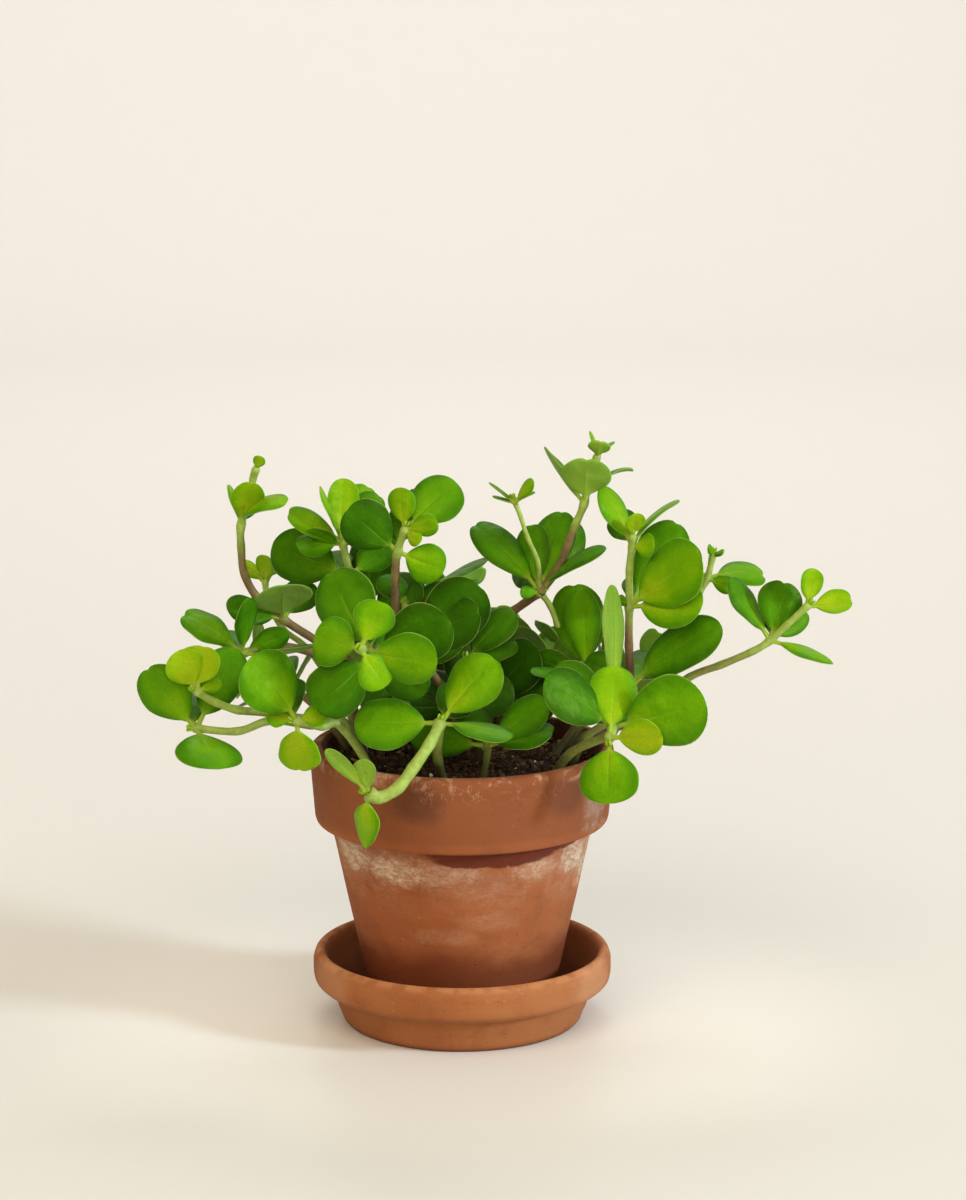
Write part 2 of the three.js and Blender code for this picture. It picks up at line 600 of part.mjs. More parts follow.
function backShoot({ bearing, root, reach, height, whorls, seed }) {
  const draw = seededDraws(seed);
  const spread = (low, high) => low + (high - low) * draw();
  const turn = radians(bearing);
  const placed = (distance, level) => [distance * Math.cos(turn), distance * Math.sin(turn), level];
  const points = [placed(root, ROOT_DEPTH)];
  for (const [outShare, upShare] of BACK_BOW) {
    points.push(placed(root + outShare * (reach - root), ROOT_DEPTH + upShare * (height - ROOT_DEPTH)));
  }
  const rows = [];
  for (let row = 0; row < whorls; row += 1) {
    const at = points.length - whorls + row;
    const base = new THREE.Vector3(...points[at]);
    const grows = base.clone().sub(new THREE.Vector3(...points[at - 1])).normalize();
    const across = new THREE.Vector3(-Math.sin(turn), Math.cos(turn), 0);
    const upward = new THREE.Vector3().crossVectors(grows, across);
    const count = BACK_LEAVES[BACK_LEAVES.length - whorls + row];
    const start = spread(0, 360 / count);
    const leaves = [];
    for (let i = 0; i < count; i += 1) {
      const round = radians(start + (360 * i) / count + spread(-BACK_UNEVEN, BACK_UNEVEN));
      const rise = radians(spread(...BACK_RISE));
      const length = spread(...BACK_LENGTH) * (1 - BACK_SHRINK * row);
      const out = across.clone().multiplyScalar(Math.cos(round)).addScaledVector(upward, Math.sin(round));
      out.multiplyScalar(Math.cos(rise)).addScaledVector(grows, Math.sin(rise)).normalize();
      const roll = spread(-BACK_UNEVEN, BACK_UNEVEN);
      leaves.push({ out, length, width: length * BACK_WIDTH, roll, bend: BACK_BEND });
    }
    rows.push({ base, facing: grows, leaves });
  }
  return { stems: [{ radius: BACK_STEM_RADIUS, points }], whorls: rows };
}

// Joins a leafy stem's stems, branches and leaves in one solid.
function leafyStem({ stems, whorls }) {
  const parts = stems.map(({ radius, points }) => tubeSolid(stemPath(points), radius));
  for (const { base, facing, leaves } of whorls) {
    for (const leaf of leaves) {
      parts.push(leafSolid(base, facing, leaf));
    }
  }
  return parts.reduce((whole, part) => whole.add(part));
}

// The pot, the saucer and the soil

function bodyRadius(height) {
  const share = (height - POT_FOOT_HEIGHT) / (BODY_TOP - POT_FOOT_HEIGHT);
  return THREE.MathUtils.lerp(POT_FOOT_RADIUS, BODY_TOP_RADIUS, share);
}

const INNER_FLOOR = POT_FOOT_HEIGHT + POT_FLOOR_THICKNESS;

function potProfile() {
  return [
    [DRAIN_RADIUS, POT_FOOT_HEIGHT],
    [POT_FOOT_RADIUS - 1, POT_FOOT_HEIGHT],
    [bodyRadius(POT_FOOT_HEIGHT + 1.2), POT_FOOT_HEIGHT + 1.2],
    [BODY_TOP_RADIUS, BODY_TOP],
    [RIM_RADIUS - 4, BODY_TOP],
    [RIM_RADIUS - 2.2, BODY_TOP + 0.8],
    [RIM_RADIUS - 1.5, BODY_TOP + 2.8],
    [RIM_RADIUS + 0.5, POT_TOP - 3.5],
    [RIM_RADIUS, POT_TOP - 1],
    [RIM_RADIUS - 1.5, POT_TOP],
    [RIM_RADIUS - 4, POT_TOP],
    [RIM_RADIUS - 5.2, POT_TOP - 1.5],
    [RIM_RADIUS - 6, POT_TOP - 13],
    [bodyRadius(BODY_TOP) - WALL, BODY_TOP - 2],
    [bodyRadius(INNER_FLOOR) - WALL, INNER_FLOOR],
    [DRAIN_RADIUS, INNER_FLOOR],
    [DRAIN_RADIUS, POT_FOOT_HEIGHT],
  ];
}

function saucerProfile() {
  return [
    [0, 0],
    [SAUCER_BASE_RADIUS - 1.3, 0],
    [SAUCER_BASE_RADIUS, 1.3],
    [SAUCER_RADIUS - 6.8, 14.2],
    [SAUCER_RADIUS - 2.8, 15],
    [SAUCER_RADIUS - 0.6, 17],
    [SAUCER_RADIUS, 20],
    [SAUCER_RADIUS, SAUCER_HEIGHT - 4],
    [SAUCER_RADIUS - 1, SAUCER_HEIGHT - 1.2],
    [SAUCER_RADIUS - 2.8, SAUCER_HEIGHT],
    [SAUCER_RADIUS - 4.4, SAUCER_HEIGHT - 0.6],
    [SAUCER_RADIUS - 5.4, SAUCER_HEIGHT - 3],
    [SAUCER_RADIUS - 7, SAUCER_HEIGHT - 10],
    [SAUCER_BASE_RADIUS + 1, SAUCER_FLOOR + 4],
    [SAUCER_BASE_RADIUS - 2, SAUCER_FLOOR],
    [0, SAUCER_FLOOR],
  ];
}

function soilProfile() {
  const spare = WALL + CLEARANCE;
  return [
    [0, INNER_FLOOR + CLEARANCE],
    [bodyRadius(INNER_FLOOR) - spare, INNER_FLOOR + CLEARANCE],
    [bodyRadius(BODY_TOP) - spare, BODY_TOP - 2],
    [RIM_RADIUS - 6.6, POT_TOP - 12.6],
    [RIM_RADIUS - 6.3, SOIL_TOP - 2],
    [RIM_RADIUS - 12, SOIL_TOP - 0.6],
    [RIM_RADIUS - 24, SOIL_TOP + 0.3],
    [RIM_RADIUS - 40, SOIL_TOP + 0.9],
    [0, SOIL_TOP + 1],
  ];
}

// The soil's top is lumpy: points of its surface, away from the pot, are raised by two crossing waves.
const LUMP_HEIGHT = 0.7;
const LUMP_WAVES = { x: 0.31, y: 0.27 }; // radians a millimetre
const LUMP_SHIFTS = { x: 0.7, y: -0.4 };

function soilSolid(shoots) {
  const geometry = lathe(soilProfile(), ROUND_STEPS);
  const place = geometry.attributes.position;
  for (let i = 0; i < place.count; i += 1) {
    const waveX = Math.sin(LUMP_WAVES.x * place.getX(i) + LUMP_SHIFTS.x);
    const waveY = Math.cos(LUMP_WAVES.y * place.getY(i) + LUMP_SHIFTS.y);
    if (place.getZ(i) > SOIL_TOP - 1) {
      place.setZ(i, place.getZ(i) + LUMP_HEIGHT * waveX * waveY);
    }
  }
  const holes = shoots.map(({ stems: [{ points, radius }] }) => (
    tubeSolid(stemPath(points), radius, CLEARANCE, CLEARANCE)));
  return holes.reduce((soil, hole) => soil.subtract(hole), solidOf(geometry));
}

// The whole plant in its pot

const shoots = new Map();
for (const [name, shoot] of Object.entries(SHOOTS)) {
  shoots.set(name, frontShoot(shoot));
}
for (const [name, shoot] of Object.entries(BACK_SHOOTS)) {
  shoots.set(name, backShoot(shoot));
}

const plant = new THREE.Group();
plant.add(pieceOf('saucer', geometryOf(solidOf(lathe(saucerProfile(), ROUND_STEPS))), SAUCER_CLAY));
plant.add(pieceOf('pot', geometryOf(solidOf(lathe(potProfile(), ROUND_STEPS))), CLAY));
plant.add(pieceOf('soil', geometryOf(soilSolid([...shoots.values()])), SOIL));
for (const [name, shoot] of shoots) {
  plant.add(pieceOf(name, geometryOf(leafyStem(shoot)), LEAF));
}

export default plant;
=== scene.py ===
"""A trailing jade peperomia in a clay pot and saucer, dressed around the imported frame.

Lengths are worked out in millimetres and turned into metres where a mesh is made. +Z is up and the front
faces -Y. Every leafy stem stands for the stem node of the same name.
"""

import math
import random

import bpy
import numpy as np
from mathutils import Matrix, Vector, noise


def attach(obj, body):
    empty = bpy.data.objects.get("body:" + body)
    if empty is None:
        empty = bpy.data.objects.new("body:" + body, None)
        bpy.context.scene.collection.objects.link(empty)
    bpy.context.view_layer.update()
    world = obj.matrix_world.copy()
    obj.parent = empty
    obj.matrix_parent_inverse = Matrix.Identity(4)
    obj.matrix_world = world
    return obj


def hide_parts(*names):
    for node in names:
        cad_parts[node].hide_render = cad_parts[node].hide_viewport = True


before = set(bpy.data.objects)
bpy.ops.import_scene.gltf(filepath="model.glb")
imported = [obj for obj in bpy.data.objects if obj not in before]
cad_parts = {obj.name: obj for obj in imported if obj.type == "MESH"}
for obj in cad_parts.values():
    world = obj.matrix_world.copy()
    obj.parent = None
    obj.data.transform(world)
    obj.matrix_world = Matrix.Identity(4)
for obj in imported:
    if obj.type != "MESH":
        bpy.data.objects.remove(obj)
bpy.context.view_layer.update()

MM = 0.001
BODY = "root"

# The camera, worked out from the pot's rim, its foot and the saucer

CAMERA_PLACE = (0.0084, -1.36, 0.446)
CAMERA_PITCH = 11.4  # degrees below level
CAMERA_LENS = 105
CAMERA_SENSOR = 36  # the tall side of the picture

# The pot, the saucer and the soil

RIM_RADIUS = 60.5
POT_TOP = 113.5
POT_FOOT_RADIUS = 36
POT_FOOT_HEIGHT = 5
BODY_TOP = 82.5
BODY_TOP_RADIUS = 52.8
WALL = 5
INNER_FLOOR = POT_FOOT_HEIGHT + 7
DRAIN_RADIUS = 6
SAUCER_RADIUS = 60.2
SAUCER_BASE_RADIUS = 48.3
SAUCER_HEIGHT = 29.6
SAUCER_FLOOR = 4.7
INNER_RIM = RIM_RADIUS - 4.6  # the pot's inner side lies within this radius
SOIL_TOP = 107.5
SOIL_GAP = 0.3
ROOT_DEPTH = 95
LATHE_STEPS = 192
LATHE_STEP = 1.2  # the longest step along a profile
PRESSED = 0.22  # how strongly a turned surface wanders in and out

# The leaves and the stems

PETIOLE_SHARE = 0.16  # the stalk's share of a leaf's length
PETIOLE_RADIUS = 0.9
PETIOLE_START = 0.5
CUP = 0.1
YOUNG_CUP = 0.22
HALF_THICK = 0.8
OUTLINE_START = 0.7
OUTLINE_END = 0.5
POINTED_END = 0.9
FULL_WIDTH = 16  # a narrower leaf has weaker folds
SWAY = 0.025  # sideways, as a share of the length
TWIST = 9  # degrees
STEM_TIP = 1.2
STEM_SIDES = 12
STEM_STEP = 1.4
SWELL = 0.34  # how much thicker a stem is at a node
SLIGHT_SWELL = 0.12  # and at its other points
SWELL_REACH = 2.2
RIPPLE = 0.06

# The leafy stems of the front, with the points, angles and sizes that the solids have: the seed of their
# draws, stems and whorls. A stem is a radius at both ends, its points, how woody it is, and the share of its
# length where it turns green. A whorl is a stem and the number of its point, the way it faces, and leaves. A
# leaf is clock angle, tilt, length, width and youth, which is 0 for an old dark leaf, 1 for a new yellow one
# and more for a pale one. Bend, roll and how pointed it is follow where they aren't 12, 0 and 0.

SHOOTS = {
    "stem_tall_left": (87, [
        ((1.8, 1.3), [(-30, 4, 95), (-44, 2, 144), (-56, 0, 154), (-71, 0, 164), (-81, -1, 173),
            (-86, -2, 183), (-87, -2, 193), (-87, -2, 202), (-84, 1, 212), (-82, 1, 221),
            (-81, 0, 224)], 0.75, 0.66),
    ], [
        (0, 3, 0, 40, [(4, 45, 24, 23, 0.3, 15), (-70, 8, 23, 12, 0.35, 15), (38, -35, 20, 14, 0.3, 10)]),
        (0, 7, 0, 60, [(15, 12, 20, 12, 0.9, -15), (-18, 2, 16, 9, 0.7, 15, 66),
            (59, 5, 24, 13, 0.7, 80, -45), (10, -55, 17, 10, 0.4)]),
        (0, 10, 0, 60, [(20, 10, 6, 5, 0.85, 10)]),
    ]),
    "stem_pale_left": (40, [
        ((1.3, 1.1), [(-34, 30, 95), (-59, 32, 140), (-73, 34, 153), (-79, 34, 165),
            (-80, 34, 172)], 0.1, 0.5),
    ], [
        (0, 4, 0, 50, [(-50, 5, 13, 8, 0.9, 10, 20), (3, 5, 12, 8, 0.9, -10), (36, -15, 18, 8, 0.85, 10)]),
    ]),
    "stem_left_middle": (23, [
        ((1.9, 1.5), [(-36, -6, 95), (-46, -7, 140), (-57, -8, 151), (-71, -9, 155), (-81, -10, 154),
            (-87, -10, 152)], 0.7, 0.9),
    ], [
        (0, 5, 0, 60, [(-57, 5, 28, 16, 0.6, 40, 30), (8, 8, 25, 13, 0.5, 12, 62),
            (64, -12, 21, 9, 0.4, 10, 10), (78, 10, 31, 12, 0.4, -15, -68), (214, -15, 15, 10, 0.4, 10),
            (-57, -60, 21, 13, 0.35)]),
    ]),
    "stem_far_left": (7, [
        ((1.8, 1.5), [(-33, -20, 95), (-46, -22, 127), (-63, -27, 130), (-76, -30, 133), (-87, -34, 135),
            (-96, -37, 139), (-102, -41, 144)], 0.3, 0.7),
    ], [
        (0, 6, -10, 75, [(-24, 16, 18, 15, 0.95, -12), (9, 10, 18, 17, 1.0, -12),
            (70, -20, 10, 7, 0.7, 10)]),
    ]),
    "stem_low_left": (73, [
        ((1.8, 1.5), [(-29, -29, 95), (-45, -31, 127), (-59, -34, 129), (-74, -35, 131), (-87, -36, 127),
            (-103, -36, 128)], 0.3, 0.7),
    ], [
        (0, 5, -20, 65, [(-37, -8, 31, 20, 0.65, 15), (28, -30, 36, 18, 0.5, 20),
            (135, 60, 28, 27, 0.56, 12, -42), (-37, -62, 24, 16, 0.4)]),
    ]),
    "stem_front_left": (57, [
        ((1.7, 1.5), [(-25, -37, 95), (-45, -43, 129), (-54, -49, 132), (-63, -53, 135)], 0.2, 0.6),
    ], [
        (0, 3, -10, 75, [(-34, -5, 31, 23, 0.6, 20), (178, 12, 20, 17, 0.95), (75, 15, 12, 9, 0.75, 8),
            (-76, 18, 12, 9, 0.75, 8), (-34, -60, 24, 17, 0.4)]),
    ]),
    "stem_rosette": (87, [
        ((1.9, 1.7), [(-12, -14, 95), (-22, -26, 135), (-29, -40, 151), (-34, -52, 161), (-37, -62, 165),
            (-38, -68, 167)], 0.3, 0.8),
    ], [
        (0, 3, 0, 78, [(-27, 0, 34, 24, 0.5, 15), (229, 0, 29, 22, 0.35, 15), (64, 0, 33, 23, 0.35, 15),
            (128, -15, 26, 17, 0.3, 15), (-27, -58, 26, 18, 0.3), (64, -62, 25, 17, 0.3)]),
        (0, 4, 0, 82, [(-78, 8, 19, 20, 0.55), (95, 5, 28, 20, 0.6)]),
        (0, 5, 0, 85, [(24, 15, 20, 16, 0.72, 8), (148, 15, 18, 14, 0.72, 8)]),
    ]),
    "stem_upper_middle": (10, [
        ((1.8, 1.5), [(-14, 2, 95), (-25, -3, 143), (-26, -8, 165), (-26, -12, 184), (-25, -14, 194),
            (-22, -16, 203)], 0.85, 0.8),
    ], [
        (0, 4, 0, 70, [(-45, 8, 27, 20, 0.3), (112, 15, 20, 16, 0.67), (10, -30, 20, 13, 0.4, 10)]),
        (0, 5, 0, 75, [(49, -8, 26, 20, 0.6), (-6, 15, 17, 11, 0.75, 8), (74, 20, 14, 9, 0.8, 8),
            (128, 25, 8, 6, 0.85, 8), (45, -55, 23, 16, 0.45)]),
        (0, 1, 0, 72, [(-125, 20, 20, 16, 0.2)]),
    ]),
    "stem_upper_left": (56, [
        ((1.6, 1.4), [(-22, 8, 95), (-33, 6, 150), (-40, 2, 169), (-44, 0, 182),
            (-47, -2, 195)], 0.8, 0.85),
    ], [
        (0, 3, 0, 60, [(-74, -8, 33, 21, 0.4), (52, -20, 20, 13, 0.4), (-70, -60, 24, 16, 0.4)]),
        (0, 4, 0, 60, [(-58, 0, 25, 13, 0.7, 30, 25), (-90, 12, 18, 11, 0.55),
            (-60, 35, 18, 9, 0.5, 20, -75), (1, 10, 25, 14, 0.85, -10, 25), (26, -16, 23, 14, 0.7, 10),
            (-20, 5, 25, 12, 0.8, 10, 75), (92, 0, 22, 10, 0.5, 15, 60), (40, -28, 25, 13, 0.5, 10)]),
    ]),
    "stem_dark_middle": (121, [
        ((1.6, 1.4), [(-8, 16, 95), (-28, 17, 141), (-34, 15, 155), (-37, 13, 163)], 0.8, 0.9),
    ], [
        (0, 3, 0, 70, [(3, -4, 34, 19, 0.3, 8), (-50, -25, 26, 18, 0.3, 10), (60, -25, 26, 18, 0.3, 10)]),
    ]),
    "stem_right_middle": (76, [
        ((1.8, 1.5), [(-4, 2, 95), (-5, -6, 130), (-12, -12, 145), (-19, -14, 155),
            (-22, -4, 170)], 0.7, 0.9),
    ], [
        (0, 3, 10, 60, [(57, 0, 31, 21, 0.22, 10), (46, -10, 37, 24, 0.2), (80, 10, 20, 16, 0.25),
            (35, -20, 30, 20, 0.2)]),
        (0, 4, 0, 60, [(62, -3, 37, 15, 0.4, 12, -62), (72, 6, 30, 15, 0.4, 12, -55),
            (30, 10, 12, 10, 0.35, 10), (-40, -30, 16, 12, 0.3, 10)]),
        (0, 1, 0, 60, [(-85, 22, 21, 14, 0), (77, 4, 26, 17, 0.08)]),
    ]),
    "stem_low_middle": (88, [
        ((1.5, 1.3), [(8, -8, 95), (5, -12, 132), (3, -14, 145), (2, -14, 150)], 0.5, 0.9),
    ], [
        (0, 3, 10, 50, [(44, 0, 26, 16, 0.35), (70, 10, 21, 13, 0.35), (110, 20, 14, 11, 0.4, 10)]),
    ]),
    "stem_front": (7, [
        ((1.9, 1.8), [(-4, -26, 95), (-9, -46, 118), (-8, -52, 134)], 0.3, 0.8),
        ((2.1, 2.4), [(-8, -52, 134), (-12, -61, 128), (-18, -66, 120), (-24, -70, 113), (-31, -73, 110),
            (-35, -74, 112)], 0.1, 0.1),
    ], [
        (0, 2, 0, 65, [(-91, 8, 33, 22, 0.56), (41, 5, 32, 21, 0.7), (97, 20, 29, 17, 0.55, 12, -55),
            (41, -60, 24, 16, 0.4)]),
        (1, 5, 200, 30, [(183, 10, 22, 14, 0.75, 10, 20, 1), (-10, 8, 15, 9, 1.2, 8, 30),
            (-36, 5, 26, 6, 1.2, -10, 50)]),
    ]),
    "stem_low_front": (87, [
        ((1.4, 1.3), [(6, -34, 95), (10, -39, 118), (10, -40, 122)], 0.1, 0.5),
    ], [
        (0, 2, 0, 55, [(-86, -4, 30, 14, 0.45, 12, -25), (72, 8, 27, 15, 0.45, 12, -30),
            (50, 0, 30, 16, 0.4, 12, -15), (-30, -30, 18, 14, 0.35, 10)]),
    ]),
    "stem_right_tall": (78, [
        ((1.7, 1.7), [(10, 12, 95), (11, 13, 128), (9, 10, 149), (14, 8, 161), (20, 5, 166),
            (31, 0, 175)], 0.9, 1.2),
        ((1.7, 1.3), [(31, 0, 175), (38, -3, 185), (42, -6, 196), (45, -7, 204), (48, -8, 212),
            (50, -6, 222), (53, -6, 230)], 0.8, 0.5),
        ((1.0, 0.8), [(31, 0, 175), (30, -5, 188), (26, -7, 198), (23, -7, 207), (21, -7, 212)], 0.1, 0.5),
        ((1.2, 1.1), [(31, 0, 175), (35, 2, 169), (38, 4, 161)], 0.1, 0.5),
    ], [
        (0, 1, 0, 65, [(-78, -6, 29, 21, 0.15), (-28, -12, 30, 21, 0.15), (38, -12, 30, 21, 0.15),
            (88, -6, 27, 19, 0.15)]),
        (0, 5, 0, 68, [(-47, 0, 36, 16, 0.45, 35, 20), (17, -10, 31, 18, 0.45), (30, -18, 30, 17, 0.45),
            (-8, -28, 28, 14, 0.4), (53, -8, 33, 11, 0.45, 45, -55), (-82, 12, 8, 5, 0.5, 8),
            (-45, -60, 23, 13, 0.35)]),
        (1, 4, 0, 20, [(-36, 5, 26, 15, 0.65, -8, 45, 0.8), (2, 32, 23, 19, 0.7, 10),
            (60, 5, 25, 13, 0.6, 80, -40, 0.8)]),
        (1, 6, 0, 20, [(-16, 5, 10, 4, 0.8, 20, 50), (10, 38, 9, 8, 0.8, 10),
            (50, 10, 9, 6, 0.75, 40, -30)]),
        (2, 4, 0, 60, [(-50, 0, 13, 5, 0.55, 8, 70), (-74, 10, 9, 4, 0.55, 8, 60),
            (35, 0, 12, 6, 0.8, 8, -20), (62, 15, 9, 5, 0.6, 45, -60)]),
    ]),
    "stem_right_upright": (9, [
        ((1.9, 1.3), [(36, -8, 95), (47, -9, 117), (67, -10, 125), (67, -9, 139), (66, -9, 155),
            (66, -9, 171), (66, -9, 186), (67, -9, 195), (67, -10, 199)], 0.9, 0.62),
    ], [
        (0, 3, 0, 68, [(52, 3, 44, 21, 0.5, 30, -20), (-65, -30, 22, 14, 0.35, 10),
            (50, -58, 25, 17, 0.35)]),
        (0, 5, 0, 72, [(47, -3, 36, 25, 0.74, 14), (32, -22, 39, 21, 0.55, 14), (81, 15, 29, 19, 0.7),
            (-46, 10, 6, 4, 0.6, 8), (55, -62, 25, 17, 0.4)]),
        (0, 7, 0, 45, [(-28, 5, 26, 15, 0.75, 20, 28), (47, 5, 26, 12, 0.7, 50, -56),
            (80, 35, 10, 9, 0.8, 8), (-28, -50, 19, 12, 0.5)]),
        (0, 8, 0, 75, [(8, 25, 11, 8, 1.0, -10)]),
    ]),
    "stem_right_front": (87, [
        ((1.8, 1.7), [(30, -26, 95), (42, -30, 116), (59, -36, 127), (58, -38, 140), (58, -50, 132),
            (57, -55, 129)], 0.4, 0.7),
    ], [
        (0, 3, 0, 70, [(1, -5, 42, 14, 1.1, 8, 50), (-62, -15, 26, 14, 0.4, 10)]),
        (0, 4, 0, 70, [(-51, 5, 34, 20, 0.32, 25, 10), (72, -3, 37, 27, 0.65),
            (-67, 18, 18, 10, 0.5, 10, 62), (72, -60, 26, 18, 0.4)]),
        (0, 5, 0, 78, [(5, 8, 26, 19, 0.76, 10), (84, 12, 20, 14, 1.0, 10), (182, 20, 25, 23, 0.64)]),
    ]),
    "stem_right_inner": (24, [
        ((1.6, 1.4), [(28, 6, 95), (52, 7, 128), (50, 7, 136), (49, 8, 139)], 0.5, 0.9),
    ], [
        (0, 3, 0, 75, [(-7, 0, 36, 22, 0.66, 8), (-70, 5, 20, 11, 0.35, 10), (-3, -12, 37, 14, 0.6, 8),
            (-80, 25, 24, 9, 0.4, -10, 60)]),
    ]),
    "stem_far_right": (54, [
        ((1.6, 1.3), [(42, -14, 95), (49, -14, 119), (75, -14, 133), (90, -15, 144), (102, -16, 149),
            (115, -17, 155), (121, -17, 159), (127, -18, 165), (135, -19, 173)], 0.45, 0.68),
    ], [
        (0, 6, 0, 65, [(-33, 6, 28, 14, 0.5, 8, 40), (14, 0, 23, 18, 0.36, 10), (64, -15, 18, 10, 0.55, 10),
            (107, 10, 25, 11, 0.65, 12, -50, 0.8), (14, -55, 20, 14, 0.45, 10)]),
        (0, 8, 0, 70, [(8, 10, 15, 10, 0.85, -12, 20), (82, 10, 18, 11, 0.85, -12, -20)]),
    ]),
    "stem_right_arch": (56, [
        ((1.5, 1.2), [(38, 14, 95), (49, 15, 118), (81, 20, 131), (91, 26, 154), (96, 28, 169),
            (99, 28, 175), (101, 28, 184)], 0.5, 0.6),
    ], [
        (0, 5, 0, 60, [(90, 0, 24, 16, 0.6, 50, -30), (104, 20, 12, 7, 0.6, 10),
            (-50, -30, 24, 16, 0.4, 10)]),
        (0, 6, 30, 20, [(-20, 10, 5, 4, 0.6, 8), (60, 10, 5, 4, 0.6, 8)]),
    ]),
}

# A leaf of the front that lies near the front's plane is swung out of it and turned about its own length,
# by drawn angles. It is longer and wider by what the front would lose of it.

LEAN = 30  # degrees, at most
TURN = 28
LEAST_SWING = 0.4  # as a share of the most
STEADY = 20  # a leaf that is already tilted or rolled by this much stays as it is

# The leafy stems of the back: bearing, root, reach, height, whorls and seed. Their leaves are drawn in the
# same order as those of the solids.

BACK_SHOOTS = {
    "stem_back_1": (30, 40, 84, 132, 2, 3),
    "stem_back_2": (50, 32, 66, 143, 3, 7),
    "stem_back_3": (72, 40, 86, 136, 2, 16),
    "stem_back_4": (95, 26, 56, 162, 3, 9),
    "stem_back_5": (114, 40, 84, 136, 2, 1),
    "stem_back_6": (138, 28, 60, 160, 3, 2),
    "stem_back_7": (164, 40, 86, 138, 2, 2),
}
BACK_BOW = [(0.35, 0.55), (0.68, 0.85), (1, 1)]
BACK_LEAVES = [4, 4, 3]
BACK_LENGTH = (22, 28)
BACK_WIDTH = 0.72
BACK_SHRINK = 0.12
BACK_RISE = (10, 35)
BACK_UNEVEN = 10
BACK_BEND = 18
BACK_STEM_RADIUS = (1.7, 1.4)
BACK_WOOD = (0.7, 0.8)
BACK_YOUTH = [0.3, 0.45, 0.7]  # from a lowest whorl up


# Small helpers

def linear(code):
    """An sRGB colour code as the four linear numbers of a shader socket."""
    parts = [(code >> shift & 255) / 255 for shift in (16, 8, 0)]
    return tuple(p / 12.92 if p <= 0.04045 else ((p + 0.055) / 1.055) ** 2.4 for p in parts) + (1.0,)


def unit(v):
    return v / np.linalg.norm(v)


def heading(clock, tilt):
    """A direction from a clock angle seen from the front, and a tilt towards the front."""
    turn, lean = math.radians(clock), math.radians(tilt)
    return np.array([math.sin(turn) * math.cos(lean), -math.sin(lean), math.cos(turn) * math.cos(lean)])


def turned(v, axis, angle):
    """The vector v turned about a unit axis."""
    return (v * math.cos(angle) + np.cross(axis, v) * math.sin(angle)
            + axis * np.dot(axis, v) * (1 - math.cos(angle)))


def smooth(low, high, x):
    share = np.clip((x - low) / (high - low), 0, 1)
    return share * share * (3 - 2 * share)


def seeded_draws(seed):
    """The same plain generator as the solids use."""
    state = seed * 7919
    while True:
        state = state * 16807 % 2147483647
        yield state / 2147483647


def mesh_object(name, points, faces, finishes):
    """A smooth mesh in the scene, with its materials."""
    mesh = bpy.data.meshes.new(name)
    mesh.from_pydata(points, [], faces)
    mesh.shade_smooth()
    for finish in finishes:
        mesh.materials.append(finish)
    made = bpy.data.objects.new(name, mesh)
    bpy.context.scene.collection.objects.link(made)
    return made


class Shape:
    """Collects the points, faces and point values of one piece."""

    def __init__(self):
        self.points = []
        self.faces = []
        self.finishes = []
        self.values = {"blade": [], "growth": []}
        self.count = 0

    def add(self, points, faces, finish=0, blade=None, growth=None):
        points = np.asarray(points, dtype=float)
        for name, given in (("blade", blade), ("growth", growth)):
            filled = np.zeros((len(points), 3))
            if given is not None:
                filled[:] = given
            self.values[name].append(filled)
        self.points.append(points)
        self.faces.extend(tuple(corner + self.count for corner in face) for face in faces)
        self.finishes.extend([finish] * len(faces))
        self.count += len(points)

    def piece(self, name, finishes, slot, replaced=None):
        points = (np.concatenate(self.points) * MM).tolist()
        piece = mesh_object(name, points, self.faces, finishes)
        piece.data.polygons.foreach_set("material_index", self.finishes)
        for label, rows in self.values.items():
            values = np.concatenate(rows)
            if values.any():
                attribute = piece.data.attributes.new(label, "FLOAT_VECTOR", "POINT")
                attribute.data.foreach_set("vector", values.ravel())
        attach(piece, BODY)
        if replaced:
            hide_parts(replaced)


def skin(rows, columns, joined=False):
    """The faces of a grid of points, closed round each row. joined closes its last row to its first too."""
    faces = []
    for i in range(rows if joined else rows - 1):
        low, high = i * columns, (i + 1) % rows * columns
        for k in range(columns):
            n = (k + 1) % columns
            faces.append((low + k, low + n, high + n, high + k))
    return faces


def fan(centre, start, columns, flipped=False):
    """The faces from one point to a closed row of points."""
    faces = []
    for k in range(columns):
        a, b = start + k, start + (k + 1) % columns
        faces.append((centre, b, a) if flipped else (centre, a, b))
    return faces


# Shader nodes

